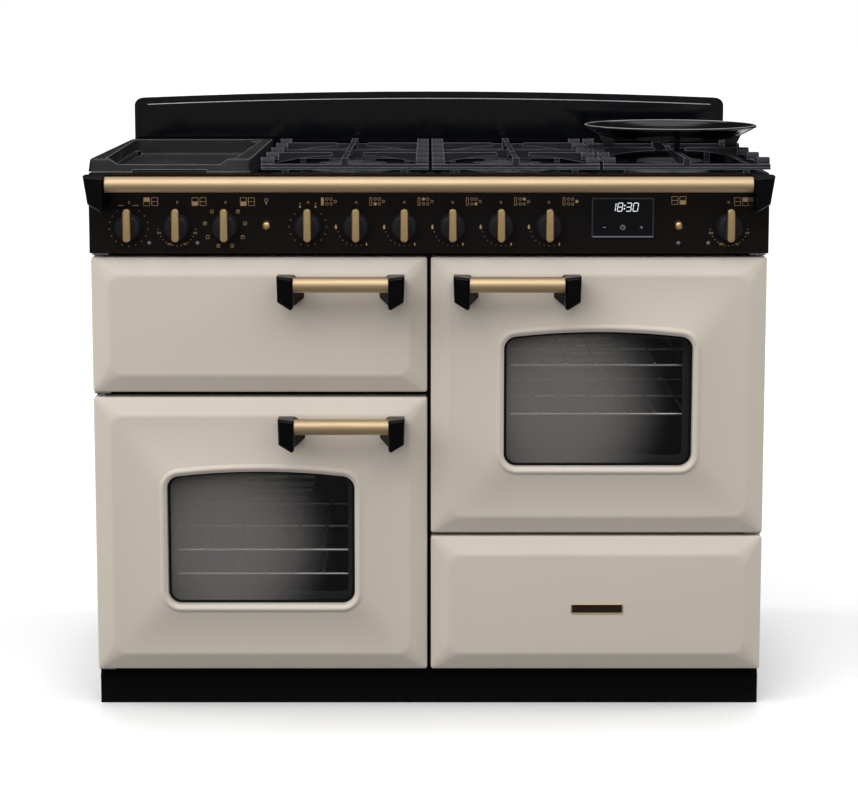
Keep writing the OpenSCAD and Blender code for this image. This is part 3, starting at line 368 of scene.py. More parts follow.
@dataclass(frozen=True)
class BurntSteel(Finish):
    """Bright steel wire that heat has tinted in bands."""

    metallic: float = 1.0

    def dress(self, graph: Graph, shader: Any) -> None:
        """Adds straw heat tints and fine scratches."""
        straw = tuple(c * tint for c, tint in zip(self.colour, (1.0, 0.9, 0.72)))
        heat = graph.noise(12.0, 3.0).span(0.45, 0.75)
        graph.feed(shader, {"Base Color": graph.mix(heat, self.colour, straw),
                            "Roughness": self.roughness + 0.2 * (graph.noise(400.0, 3.0) - 0.5)})


@dataclass(frozen=True)
class SmokedGlass(Finish):
    """Dark oven glass: a tint that lets part of the light through, and a pale grey patch of painted light
    round its left middle, for light falling into the oven.

    Attributes:
        centre: x and z of the painted light, in metres.
        reach: how far the painted light reaches from there.
        painted_light: colour of the painted light where it is strongest.
        clear: share of the light that passes the darkest part.
    """

    centre: tuple[float, float] = (0.0, 0.0)
    reach: float = 0.2
    painted_light: Colour = (0.12, 0.12, 0.12)
    clear: float = 0.5

    def dress(self, graph: Graph, shader: Any) -> None:
        """Lets light through by the clear share, and lays the painted light on as a soft round, where the
        pane also lets less through.
        """
        across, up = ((graph.axis(letter) - middle) * (1.0 / self.reach)
                      for letter, middle in zip("XZ", self.centre))
        # Painted light: a pale round patch, strongest at the centre and gone at the reach.
        light_share = 1.0 - (across * across + up * up).span(0.0, 1.0)
        soot = graph.noise(20.0, 5.0)
        graph.feed(shader, {
            "Base Color": graph.mix(light_share, self.colour, self.painted_light),
            "Roughness": self.roughness + 0.05 * soot,
            "Alpha": 1.0 - self.clear * (1.0 - 0.25 * light_share) + 0.04 * (soot - 0.5)})


@dataclass(frozen=True)
class GlowingPrint(Finish):
    """Lit segments of a display.

    Attributes:
        glow: strength of the light.
    """

    glow: float = 1.0

    def dress(self, graph: Graph, shader: Any) -> None:
        """Adds the light, a little uneven from place to place."""
        shader.inputs["Emission Strength"].default_value = self.glow
        graph.feed(shader, {"Emission Color": graph.mix(graph.noise(300.0), self.shaded(0.8), self.colour)})


CREAM = Enamel("cream_enamel", srgb(193, 184, 172), 0.34, specular=0.3)
HOB_BLACK = Enamel("hob_black_enamel", srgb(6, 7, 9), 0.1, specular=0.28, peel=0.00002)
# Pale metal on the splashback's black fold: a painted highlight.
LIP_HIGHLIGHT = Enamel("splashback_lip", srgb(186, 188, 192), 0.35, metallic=0.8)
PLINTH_BLACK = Enamel("plinth_black_enamel", srgb(9, 9, 9), 0.45, specular=0.03)
PANEL_BLACK = Enamel("panel_black_paint", srgb(22, 22, 23), 0.45, specular=0.15)
FASCIA = Enamel("fascia_enamel", srgb(17, 13, 12), 0.42, specular=0.1)
BRACKET = Enamel("bracket_black", srgb(3, 3, 4), 0.2, specular=0.12)
BRASS = BrushedMetal("rail_brass", srgb(208, 183, 145), 0.54, coat=0.2, coat_rough=0.3)
BAR_BRASS = BrushedMetal("knob_bar_brass", srgb(222, 188, 132), 0.34, coat=0.35, coat_rough=0.3, along="Z")
PIPE_BRASS = BrushedMetal("pipe_brass", srgb(190, 150, 90), 0.4)
# Brass darkened as painted shade of the recess round each push button.
SHADED_BRASS = BrushedMetal("bronze_ring", srgb(104, 76, 44), 0.35)
CHARCOAL = Enamel("knob_charcoal", srgb(25, 26, 29), 0.36, specular=0.15, peel=0.00001)
# The pale edge colours of the griddle and the pan supports are painted highlights.
GRIDDLE = CastIron("griddle_iron", srgb(15, 15, 16), 0.5, specular=0.3, worn=srgb(40, 40, 40), wear=0.5,
                   edge_highlight=srgb(132, 132, 132), edge=0.0022)
SUPPORT = CastIron("support_iron", srgb(12, 12, 16), 0.42, specular=0.35, worn=srgb(40, 40, 48), wear=0.3,
                   edge_highlight=srgb(116, 116, 130), edge=0.0018)
# The wok ring's pale top millimetre is a painted highlight along its rim.
RING = TwoToneEnamel("ring_enamel", srgb(5, 5, 6), 0.16, peel=0.00001,
                     change=Box("wok_ring").top - 0.001, upper=srgb(150, 150, 152))
OVEN = SpeckledEnamel("oven_enamel", srgb(46, 46, 49), 0.3, specular=0.4)
WIRE = BurntSteel("shelf_wire", srgb(242, 242, 242), 0.42)
ELEMENT = BurntSteel("element_sheath", srgb(120, 112, 104), 0.5)
ZINC = BrushedMetal("zinc_plate", srgb(176, 178, 182), 0.42, along="Y")
ALLOY = BrushedMetal("burner_alloy", srgb(110, 110, 112), 0.5, metallic=0.8, along="Z")
CAP = CastIron("burner_cap_enamel", srgb(18, 18, 19), 0.45, grain=0.0001)
SHEET = BrushedMetal("galvanised_sheet", srgb(150, 152, 156), 0.5, metallic=0.9, along="Z", lines=300.0)
RUBBER = CastIron("seal_braid", srgb(26, 26, 27), 0.8, specular=0.2, grain=0.0004)
FOOT = Finish("foot_plastic", srgb(20, 20, 21), 0.6)
LENS = Finish("lamp_lens", srgb(96, 96, 96), 0.2, specular=0.3)
SMOKE = Enamel("display_glass", srgb(11, 12, 14), 0.12, specular=0.15, peel=0.000005)
# The clock bezel's pale lower edge, under the dark upper colour, is a painted highlight.
BEZEL = TwoToneEnamel("clock_bezel", srgb(84, 90, 102), 0.3, specular=0.3, peel=0.000005,
                      change=Box("clock_display").foot + 0.0022, upper=srgb(8, 9, 11))
PRINT = Finish("dial_print", srgb(170, 142, 100), 0.5, specular=0.1)
LIT = GlowingPrint("display_segments", srgb(226, 232, 238), 0.5, glow=0.9)
DIM = Finish("display_symbols", srgb(150, 154, 158), 0.5, specular=0.1)
FRIT = Enamel("glass_border", srgb(8, 8, 9), 0.2, specular=0.2)
BADGE = Enamel("badge_plate", srgb(30, 24, 20), 0.35, specular=0.2)

NODE_FINISHES: dict[Finish, tuple[str, ...]] = {
    PANEL_BLACK: ("chassis", "outer_panels"),
    SHEET: ("drawer_box",),
    FOOT: ("levelling_feet",),
    PLINTH_BLACK: ("plinth",),
    FASCIA: ("control_panel",),
    LENS: ("indicator_lamps",),
    HOB_BLACK: ("splashback", "hob_tray"),
    ALLOY: ("burner_heads",),
    CAP: ("burner_caps",),
    OVEN: ("left_oven_cavity", "right_oven_cavity", "grill_cavity", "fan_covers", "grill_pan",
           "grill_door_liner", "left_door_liner", "right_door_liner"),
    WIRE: ("shelf_ladders", "oven_shelves", "left_oven_fan", "right_oven_fan"),
    ELEMENT: ("grill_element",),
    ZINC: ("drawer_runners", "door_hinges"),
    RUBBER: ("door_seals",),
    PIPE_BRASS: ("gas_rail",),
    BAR_BRASS: ("light_button", "timer_button"),
    SMOKE: ("clock_display",),
    GRIDDLE: ("griddle",),
    SUPPORT: ("pan_support_left", "pan_support_centre", "pan_support_right"),
    RING: ("wok_ring",),
}


@dataclass
class Piece:
    """A mesh in the making: its points, its faces and where it belongs.

    Attributes:
        name: the object's name.
        body: the CAD body that it rides on.
        slot: the name of a material slot; not used.
        finish: how its surface looks.
        replaces: CAD nodes that it stands for.
        sharp: angle in degrees over which an edge stays sharp.
        bevel: width of the rounding of its edges in metres, or 0.
        points, faces, count: what it is made of so far, and the number of points.
    """

    name: str
    body: str
    slot: str
    finish: Finish
    replaces: tuple[str, ...] = ()
    sharp: float = 35.0
    bevel: float = 0.0
    points: list[Array] = field(default_factory=list)
    faces: list[list[int]] = field(default_factory=list)
    count: int = 0

    def add(self, points: Array, faces: Iterable[Sequence[int]]) -> None:
        """Adds points, n by 3, and the faces between them."""
        self.points.append(np.asarray(points, float).reshape(-1, 3))
        self.faces += [[int(i) + self.count for i in face] for face in faces]
        self.count += len(self.points[-1])

    def grid(self, points: Array, closed_rows: bool = False) -> "Piece":
        """Adds a surface over a grid of points whose columns close on themselves.

        The first and last rows are closed with a face each, unless the rows join too.

        Args:
            points: rows by columns by 3.
            closed_rows: joins the last row to the first, as in a ring.

        Returns:
            The piece itself.
        """
        rows, columns = points.shape[:2]
        i, j = np.meshgrid(np.arange(rows if closed_rows else rows - 1), np.arange(columns), indexing="ij")
        k, below = (j + 1) % columns, (i + 1) % rows
        quads = np.stack([i * columns + j, i * columns + k, below * columns + k, below * columns + j], -1)
        faces = quads.reshape(-1, 4).tolist()
        if not closed_rows:
            faces.append(list(range(columns))[::-1])
            faces.append([(rows - 1) * columns + c for c in range(columns)])
        self.add(points, faces)
        return self

    def build(self) -> bpy.types.Object:
        """Makes the Blender object, smooths it, and hands it to its body."""
        mesh = bpy.data.meshes.new(self.name)
        mesh.from_pydata(np.concatenate(self.points).tolist(), [], self.faces)
        shell = bmesh.new()
        shell.from_mesh(mesh)
        bmesh.ops.remove_doubles(shell, verts=shell.verts, dist=1e-6)
        bmesh.ops.dissolve_degenerate(shell, edges=shell.edges, dist=1e-7)
        bmesh.ops.recalc_face_normals(shell, faces=shell.faces)
        shell.to_mesh(mesh)
        shell.free()
        mesh.polygons.foreach_set("use_smooth", np.ones(len(mesh.polygons), bool))
        mesh.set_sharp_from_angle(angle=math.radians(self.sharp))
        made = bpy.data.objects.new(self.name, mesh)
        bpy.context.scene.collection.objects.link(made)
        mesh.materials.append(self.finish.material())
        if self.bevel:
            rounding = made.modifiers.new("rounded_edges", "BEVEL")
            rounding.width, rounding.segments = self.bevel, 3
            rounding.limit_method, rounding.angle_limit = "ANGLE", math.radians(self.sharp)
        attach(made, self.body)
        if self.replaces:
            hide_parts(*self.replaces)
        LOG.info("%s: %d faces on %s", self.name, len(mesh.polygons), self.body)
        return made


def turn(start: float, stop: float, count: int, centre: Sequence[float], radius: float) -> Array:
    """Arc in a plane: centre plus radius times (cos, sin) of angles that run evenly, in degrees."""
    angle = np.radians(np.linspace(start, stop, count))
    return np.stack([centre[0] + radius * np.cos(angle), centre[1] + radius * np.sin(angle)], -1)


def straight(start: Array, stop: Array, count: int) -> Array:
    """Points evenly between two others, without the ends: start + t (stop - start)."""
    share = np.linspace(0.0, 1.0, count + 2)[1:-1, None]
    return start + share * (stop - start)


def arched_outline(width: float, height: float, radius: float, rise: float = 0.0, grow: float = 0.0,
                   corner: int = 9, side: int = 8) -> Array:
    """Outline of a rectangle with round corners and, if rise isn't 0, an arched top.

    Each corner is an arc of radius plus grow; the top is an arc through the rise, tangent to the corners.

    Args:
        width: width between the sides, in metres.
        height: height at the middle.
        radius: corner radius.
        rise: how far the top's middle stands over its ends.
        grow: how far the whole outline is grown outwards.
        corner: points on a corner.
        side: points on a side, its ends left out.

    Returns:
        Points, n by 2, anticlockwise seen from the front, from the bottom right; z is 0 at the bottom.
    """
    inner = width / 2 - radius
    if rise:
        sweep = (width * width / 4 + rise * rise) / (2 * rise)
        corner_z = height - sweep + math.sqrt((sweep - radius) ** 2 - inner**2)
        lean = math.degrees(math.atan2(corner_z - (height - sweep), inner))
        top = turn(lean, 180 - lean, side + 2, (0.0, height - sweep), sweep + grow)[1:-1]
    else:
        corner_z, lean, top = height - radius, 90.0, None
    around = max(radius + grow, 1e-5)
    corners = [turn(start, stop, corner, centre, around) for start, stop, centre in (
        (-90, 0, (inner, radius)), (0, lean, (inner, corner_z)),
        (180 - lean, 180, (-inner, corner_z)), (180, 270, (-inner, radius)))]
    if top is None:
        top = straight(corners[1][-1], corners[2][0], side)
    right, left, bottom = (straight(corners[i][-1], corners[j][0], side) for i, j in ((0, 1), (2, 3), (3, 0)))
    return np.concatenate([corners[0], right, corners[1], top, corners[2], left, corners[3], bottom])


def layers(*rings: Layer, x: float = 0.0, z: float = 0.0) -> Array:
    """Grid whose rows are flat outlines stood up, each at its own y, and moved by x and z."""
    return np.stack([np.stack([line[:, 0] + x, np.full(len(line), y), line[:, 1] + z], -1)
                     for line, y in rings])


def revolve(profile: Array, centre: Sequence[float], count: int = 64) -> Array:
    """Surface of a profile turned about the Y axis through centre.

    Each point (r, y) of the profile goes to (r cos a, y, r sin a) for angles a all round.

    Args:
        profile: radii and y, n by 2.
        centre: x, y and z of the axis.
        count: points round the axis.

    Returns:
        Grid of points, n by count by 3.
    """
    angle = np.linspace(0, 2 * np.pi, count, endpoint=False)
    radius, depth = profile[:, :1], profile[:, 1:]
    return np.stack([centre[0] + radius * np.cos(angle), centre[1] + depth + 0 * angle,
                     centre[2] + radius * np.sin(angle)], -1)


@dataclass
class Front:
    """A pressed steel front: a return, a soft bevel and a flat, with or without an arched window.

    Attributes:
        name: the CAD node that it stands for.
        body: the body that it rides on.
        window: whether it has a window.
        bevel_w, bevel_d: width and depth of the slope round the flat.
        flat_r, edge_r: corner radius of the flat and of the outer edge.
        fold: radius of the fold along that edge.
        blend: share of the slope that runs into the flat.
        skin: thickness of the steel.
        window_w, window_h, window_rise, window_r: size, arch and corner radius of the window.
        sill: height of the window's foot over the front's.
        bead_w, bead_h: width and height of the raised bead round it.
    """

    name: str
    body: str
    window: bool
    bevel_w: float = 0.029
    bevel_d: float = 0.012
    flat_r: float = 0.021
    edge_r: float = 0.004
    fold: float = 0.003
    blend: float = 0.13
    skin: float = 0.0024
    window_w: float = 0.306
    window_h: float = 0.222
    window_rise: float = 0.010
    window_r: float = 0.021
    sill: float = 0.112
    bead_w: float = 0.013
    bead_h: float = 0.0034

    # How far each outline of the glazing grows past the window, and its depth behind the bevel's foot.
    PANE = ((0.006, 0.0003), (0.0065, 0.0008), (0.0065, 0.0038), (0.006, 0.0043))
    BORDER = ((-0.0045, 0.0002), (0.0, 0.0001), (0.0, 0.0003), (-0.0045, 0.0003))
    SPACER = ((0.002, 0.0053), (0.0085, 0.0053), (0.0085, 0.0275), (0.002, 0.0275))
    # Middle of the pane's painted light, across and up from the window's.
    LIGHT_PATCH = (-0.065, -0.012)

    def __post_init__(self) -> None:
        """Reads the front's place and size from its CAD node."""
        self.box = Box(self.name)

    def ring(self, inset: float, y: float, radius: float) -> Layer:
        """One ring of the pressing: the outline drawn in by inset, at a depth y."""
        outline = arched_outline(self.box.width - 2 * inset, self.box.height - 2 * inset, radius)
        return outline + [self.box.x, self.box.foot + inset], y

    def profile(self) -> Array:
        """Section of the pressing from its side wall to its flat.

        A quarter round of radius fold meets a straight slope, y = depth (1 - t) for the share t of its width.
        Within blend of the slope's end the height is (1 + blend - t) squared over 4 blend, which meets both
        the slope and the flat without a crease.

        Returns:
            Inset and depth behind the flat of each point, n by 2, in metres.
        """
        lean = math.atan2(self.bevel_d, self.bevel_w)
        angle = np.linspace(0.0, math.pi / 2 - lean, 7)
        reach = self.fold * (1 - math.sin(lean))
        centre = self.bevel_d * (1 - reach / self.bevel_w) + self.fold * math.cos(lean)
        corner = np.stack([self.fold * (1 - np.cos(angle)), centre - self.fold * np.sin(angle)], -1)
        share = np.concatenate([np.linspace(0.2, 1 - self.blend, 5),
                                np.linspace(1 - self.blend, 1 + self.blend, 9)[1:]])
        height = np.where(share < 1 - self.blend, 1 - share, (1 + self.blend - share) ** 2 / (4 * self.blend))
        return np.concatenate([corner, np.stack([share * self.bevel_w, height * self.bevel_d], -1)])

    def skin_rings(self, depth: float) -> list[Layer]:
        """Rings from the back edge over the bevel to the flat.

        Args:
            depth: distance inwards from the outer surface, 0 or the steel's thickness.

        Returns:
            The rings, in order.
        """
        rings = [self.ring(depth, self.box.back, self.edge_r)]
        for inset, behind in self.profile():
            share = min(inset / self.bevel_w, 1.0)
            rings.append(self.ring(depth + inset, FACE_Y + depth + behind,
                                   self.edge_r + (self.flat_r - self.edge_r) * share))
        return rings

    def opening(self, grow: float, depth: float) -> Layer:
        """The window's outline grown by so much, at a depth behind the flat."""
        outline = arched_outline(self.window_w, self.window_h, self.window_r, self.window_rise, grow)
        return outline + [self.box.x, self.box.foot + self.sill], FACE_Y + depth

    def bead(self) -> list[Layer]:
        """Rings over the raised bead, a half sine to the power 1.3 across it, and the return inwards."""
        rings = [self.opening(self.bead_w * t + 0.0006, -self.bead_h * math.sin(math.pi * t) ** 1.3)
                 for t in np.linspace(1.0, 0.0, 15)]
        return rings + [self.opening(0.0, depth) for depth in (0.002, self.bevel_d)]

    def build(self) -> None:
        """Makes the pressing, and the glass and its border where there is a window."""
        piece = Piece(f"{self.body}_face", self.body, "door_cream", CREAM, (self.name,), sharp=40.0)
        outer, inner = self.skin_rings(0.0), self.skin_rings(self.skin)
        if self.window:
            inside = [self.opening(self.skin, self.bevel_d), self.opening(self.bead_w, self.skin)]
            piece.grid(layers(*outer, *self.bead(), *inside, *inner[::-1]), closed_rows=True)
        else:
            piece.grid(layers(*outer[::-1], *inner))
        piece.build()
        if self.window:
            self.glaze()

    def glazing(self, section: Sequence[tuple[float, float]]) -> Array:
        """A section of the glazing carried round the window."""
        return layers(*[self.opening(grow, self.bevel_d + y) for grow, y in section])

    def glaze(self) -> None:
        """Makes the smoked pane and the black border printed round it, in front and behind."""
        node = self.name.replace("skin", "glass")
        centre = (self.box.x + self.LIGHT_PATCH[0], self.box.foot + self.sill + self.window_h / 2 + self.LIGHT_PATCH[1])
        # The pale patch on each pane is painted light, a little left of the window's middle.
        smoke = SmokedGlass(f"{self.body}_smoked_glass", srgb(20, 20, 21), 0.06, clear=0.8, reach=0.19,
                            centre=centre, painted_light=srgb(130, 127, 125))
        pane = Piece(f"{self.body}_pane", self.body, "window_glass", smoke, (node,))
        pane.grid(self.glazing(self.PANE)).build()
        border = Piece(f"{self.body}_glass_border", self.body, "window_glass", FRIT, (node,))
        for section in (self.BORDER, self.SPACER):
            border.grid(self.glazing(section), closed_rows=True)
        border.build()


@dataclass
class Handle:
    """A brass tube between two five-sided brackets.

    Attributes:
        brackets: the CAD node of the brackets.
        tube: the CAD node of the tube.
        body: the body that they ride on.
        width: width of a bracket.
        foot: how far a bracket's foot spreads towards the other.
        tall: how far a bracket hangs under the tube.
        lean: how far its lower outer corner is drawn in.
        tube_r, out: radius of the tube, and how far its axis stands out from the faces.
        reach, nose: how far a bracket stands out, and the chamfer at its end.
    """

    brackets: str
    tube: str
    body: str
    width: float = 0.026
    foot: float = 0.015
    tall: float = 0.027
    lean: float = 0.001
    tube_r: float = 0.0125
    out: float = 0.046
    reach: float = 0.062
    nose: float = 0.003

    def bracket(self, piece: Piece, edge: float, side: int, z: float) -> None:
        """Adds one bracket: a chamfered nose, a straight neck and a foot that spreads under the tube.

        Args:
            piece: the piece that takes it.
            edge: x of its outer side.
            side: 1 for the right-hand bracket, -1 for the left.
            z: height of the tube's axis.
        """
        w, n, top, low = self.width, self.nose, self.tube_r + 0.0025, -self.tube_r - self.tall
        tip, corner, out = w * 0.16, low + 0.013, w - self.lean
        neck = [(tip, low), (out, corner), (w, top), (0.0, top), (0.0, low + n)]
        rings = [([(tip + 0.001, low + n + 0.001), (out - n, corner + 0.002), (w - n, top - n),
                   (n, top - 2 * n), (n, low + 2 * n)], -self.reach),
                 (neck[:3] + [(0.0, top - n)] + neck[4:], -self.reach + n),
                 (neck, -self.reach / 2),
                 ([(tip, low + n), (out, corner + 0.001), (w, 0.004), (-self.foot, -0.002),
                   (-self.foot, corner)], 0.0)]
        grid = layers(*[(np.array(ring), FACE_Y + y) for ring, y in rings], z=z)
        grid[..., 0] = edge + side * (grid[..., 0] - w)
        piece.grid(grid)

    def build(self) -> None:
        """Makes the two brackets as one piece and the tube, a circle carried along X, as another."""
        ends, tube = Box(self.brackets), Box(self.tube)
        irons = Piece(f"{self.tube}_irons", self.body, "bracket_black", BRACKET, (self.brackets,),
                      sharp=25.0, bevel=0.0009)
        self.bracket(irons, ends.right, 1, tube.z)
        self.bracket(irons, ends.left, -1, tube.z)
        irons.build()
        across, angle = np.meshgrid(tube.x + np.linspace(-tube.width / 2, tube.width / 2, 24),
                                    np.linspace(0, 2 * np.pi, 72, endpoint=False), indexing="ij")
        Piece(f"{self.tube}_bar", self.body, "brass", BRASS, (self.tube,)).grid(
            np.stack([across, FACE_Y - self.out + self.tube_r * np.cos(angle),
                      tube.z + self.tube_r * np.sin(angle)], -1)).build()


class Turn(Enum):
    """What a knob sets, which decides the marks round it."""

    GRILL = "grill"
    OVEN = "oven"
    FUNCTION = "function"
    HOTPLATE = "hotplate"
    BURNER = "burner"


@dataclass
class Knob:
    """A charcoal disc with a brass grip bar.

    Attributes:
        number: the knob's number in the frame.
        radius: radius of the disc.
        bar_w, bar_up, bar_down: width of the bar, and its reach over and under the axis.
    """

    number: int
    radius: float = 0.022
    bar_w: float = 0.013
    bar_up: float = 0.031
    bar_down: float = 0.022

    # Inset of the disc's section from its radius, and y from the fascia, from the skirt to the crown.
    DISC = ((0.0004, -0.001), (0.0, -0.0016), (0.0, -0.0046), (0.0008, -0.0056), (0.0016, -0.0068),
            (0.0022, -0.0135), (0.0028, -0.0152), (0.0042, -0.0164), (0.0065, -0.0170))
    # How far the grip's outline grows, and y from the fascia, from its foot to its rounded face.
    GRIP = ((0.0, -0.0165), (0.0, -0.0262), (-0.0005, -0.0273), (-0.0014, -0.0279), (-0.0026, -0.0280))

    def build(self) -> None:
        """Makes the disc with its skirt and spindle, and the bar."""
        node = f"knob_{self.number}"
        x, z = pivot(node)
        rim = [(self.radius - inset, y) for inset, y in self.DISC]
        profile = np.array([(0.0, 0.024), (0.004, 0.024), (0.004, -0.001), *rim, (0.0, -0.0170)])
        Piece(f"{node}_disc", node, "knob_charcoal", CHARCOAL, (node,), sharp=30.0).grid(
            revolve(profile, (x, FACE_Y, z))).build()
        height, corner = self.bar_up + self.bar_down, self.bar_w / 2 - 0.0002
        Piece(f"{node}_grip", node, "knob_charcoal", BAR_BRASS, (node,), sharp=28.0).grid(
            layers(*[(arched_outline(self.bar_w, height, corner, 0.0, grow, 13, 3), FACE_Y + y)
                     for grow, y in self.GRIP], x=x, z=z - self.bar_down)).build()


@dataclass
class Marks:
    """Gold print on the fascia: zeros, dots, numbers, flames and zone pictograms.

    Attributes:
        piece: the piece that takes the print.
        thick: how far the print stands out.
        front: y of the face that it is printed on.
        line: width of a thin line.
        dot_r: radius of a dot.
        icon_x, icon_z: a pictogram's lower left corner from the knob's axis.
    """

    piece: Piece = field(default_factory=lambda: Piece("dial_print", "cabinet", "brass", PRINT, sharp=20.0))
    thick: float = 0.00015
    front: float = FACE_Y
    line: float = 0.0006
    dot_r: float = 0.0007
    icon_x: float = 0.0245
    icon_z: float = 0.034

    # Middle of each burner's ring in the pictogram of the hob, from its lower left corner.
    BURNERS = ((0.0092, 0.0026), (0.0092, 0.0104), (0.0158, 0.0026), (0.0158, 0.0104), (0.0226, 0.0065))

    def shape(self, outline: Array, hole: Array | None = None) -> None:
        """Prints one outline, n by 2 in x and z, with an outline of as many points cut out of it."""
        face, back = self.front - self.thick, self.front
        inner = () if hole is None else ((hole, back), (hole, face))
        self.piece.grid(layers(*inner, (outline, face), (outline, back)), closed_rows=hole is not None)

    def dot(self, x: float, z: float, radius: float) -> None:
        """Prints a disc."""
        self.shape(turn(0, 330, 12, (x, z), radius))

    def ring(self, x: float, z: float, radius: float, line: float, squash: float = 1.0) -> None:
        """Prints a ring, or an oval one squashed across."""
        outer, inner = (turn(0, 342, 20, (0, 0), r) * [squash, 1.0] + [x, z] for r in (radius, radius - line))
        self.shape(outer, inner)

    def bar(self, x: float, z: float, width: float, height: float) -> None:
        """Prints a rectangle about a point."""
        self.shape(np.array([(1, -1), (1, 1), (-1, 1), (-1, -1)]) * [width / 2, height / 2] + [x, z])

    def frame(self, x: float, z: float, width: float, height: float, line: float = 0.0006) -> None:
        """Prints a rounded frame whose lower left corner is at a point."""
        outer, inner = (arched_outline(width, height, 0.001, grow=grow, corner=4, side=1) + [x + width / 2, z]
                        for grow in (0.0, -line))
        self.shape(outer, inner)

    def flame(self, x: float, z: float, size: float) -> None:
        """Prints a drop: a circle, its upper half drawn out 1.9 times and pinched as |cos| to the 1.4."""
        angle = np.linspace(0, 2 * np.pi, 24, endpoint=False)
        across, up = np.cos(angle), np.sin(angle)
        pinch = np.where(up > 0, np.abs(across) ** 1.4 * np.sign(across), across)
        self.shape(np.stack([pinch * 0.7, up * np.where(up > 0, 1.9, 1.0)], -1) * size / 2 + [x, z])

    def zones(self, x: float, z: float, chosen: int) -> None:
        """Prints the two columns of ovens, each split in two, with the chosen part filled."""
        w, h, gap, rim = 0.0104, 0.0134, 0.0026, 0.001
        for column in range(2):
            left = x + column * (w + gap)
            self.frame(left, z, w, h)
            self.bar(left + w / 2, z + h / 2, w - rim, self.line)
            for row in range(2):
                if chosen == column * 2 + row:
                    self.bar(left + w / 2, z + h * (0.75 - 0.5 * row), w - 2 * rim, h / 2 - rim)

    def hob_zones(self, x: float, z: float, chosen: int) -> None:
        """Prints the griddle's bar and the burners' rings, with the chosen one filled."""
        if chosen == 0:
            self.bar(x + 0.002, z + 0.0065, 0.0042, 0.0125)
        else:
            self.frame(x, z, 0.004, 0.013)
        for number, (dx, dz) in enumerate(self.BURNERS, 1):
            if number == chosen:
                self.dot(x + dx, z + dz, 0.0025)
            else:
                self.ring(x + dx, z + dz, 0.0024, self.line)

    @staticmethod
    def clockwise(x: float, z: float, radius: float, angles: Any) -> list[tuple[float, float]]:
        """Points round a knob, at clock angles in degrees from the top."""
        return [(x + radius * math.sin(a), z + radius * math.cos(a)) for a in np.radians(angles)]

    def dots(self, x: float, z: float, radius: float, arc: tuple[float, float, int], size: float) -> None:
        """Prints dots evenly along an arc, given by its first and last clock angle and their count."""
        for place in self.clockwise(x, z, radius, np.linspace(*arc)):
            self.dot(*place, size)

    def number(self, text: str, x: float, z: float, size: float) -> None:
        """Prints a plain number, centred on a point."""
        curve = bpy.data.curves.new("number", "FONT")
        curve.body, curve.size, curve.extrude = text, size, self.thick / 2
        curve.align_x, curve.align_y = "CENTER", "CENTER"
        holder = bpy.data.objects.new("number", curve)
        mesh = holder.to_mesh()
        flat = np.empty(len(mesh.vertices) * 3)
        mesh.vertices.foreach_get("co", flat)
        flat = flat.reshape(-1, 3)
        upright = np.stack([flat[:, 0] + x, self.front - self.thick / 2 - flat[:, 2], flat[:, 1] + z], -1)
        self.piece.add(upright, [list(p.vertices) for p in mesh.polygons])
        holder.to_mesh_clear()
        bpy.data.objects.remove(holder)
        bpy.data.curves.remove(curve)

    def oven_dial(self, x: float, z: float) -> None:
        """Prints the lower half of an oven's dial: dots, with a number in place of each fourth."""
        for step, place in enumerate(self.clockwise(x, z, 0.0305, np.linspace(97, 263, 15))):
            if step % 4 == 1:
                self.number(str(50 * (step // 4 + 2)), *place, 0.0046)
            else:
                self.dot(*place, self.dot_r)

    def function_dial(self, x: float, z: float, frame_w: float = 0.0056) -> None:
        """Prints the small framed pictograms round the oven's function knob."""
        for step, (px, pz) in enumerate(self.clockwise(x, z, 0.0325, range(40, 360, 40)), 1):
            self.frame(px - frame_w / 2, pz - frame_w / 2, frame_w, frame_w, 0.0005)
            if step % 2:
                self.bar(px, pz + 0.0014, 0.003, self.line)
            if step % 3:
                self.dot(px, pz - 0.0004, 0.0008)

    def dial(self, number: int, kind: Turn) -> None:
        """Prints what stands round one knob."""
        x, z = pivot(f"knob_{number}")
        icon = z + self.icon_z
        self.ring(x * 0.997, z + 0.0395, 0.0021, 0.0007, squash=0.75)
        if kind is Turn.GRILL:
            self.zones(x + self.icon_x, icon, 0)
            for side in (-1, 1):
                self.bar(x + side * 0.0115, icon + 0.0005, 0.0095, 0.0009)
            self.dots(x, z, 0.031, (35, 325, 15), self.dot_r)
        elif kind is Turn.OVEN:
            first = number < 4
            self.zones(x + (self.icon_x if first else 0.0075), icon, 1 if first else 2)
            self.oven_dial(x, z)
        elif kind is Turn.FUNCTION:
            self.zones(x + self.icon_x, icon, 1)
            self.function_dial(x, z)
        else:
            self.hob_zones(x + 0.0215, icon + 0.0005, number - 4)
            if kind is Turn.HOTPLATE:
                for side in (-0.0125, 0.0125):
                    self.dot(x + side, z + 0.0325, 0.0017)
                    self.dot(x + side, z + 0.0375, 0.0011)
                self.dots(x, z, 0.030, (45, 315, 13), self.dot_r)
            else:
                self.flame(x - 0.0325, z - 0.001, 0.0052)
                self.flame(x + 0.0165, z - 0.0285, 0.0036)
                self.dots(x, z, 0.0305, (165, 255, 7), 0.0006)

    def build(self) -> None:
        """Prints every dial and the symbols over the two push buttons."""
        kinds = [Turn.GRILL, Turn.OVEN, Turn.FUNCTION, Turn.HOTPLATE] + [Turn.BURNER] * 5 + [Turn.OVEN]
        for number, kind in enumerate(kinds, 1):
            self.dial(number, kind)
        light, timer = Box("light_button"), Box("timer_button")
        self.ring(light.x, light.z + 0.041, 0.0030, 0.0007)
        self.bar(light.x, light.z + 0.036, 0.0022, 0.0028)
        self.zones(timer.x - 0.0120, timer.z + self.icon_z, 3)
        self.piece.build()


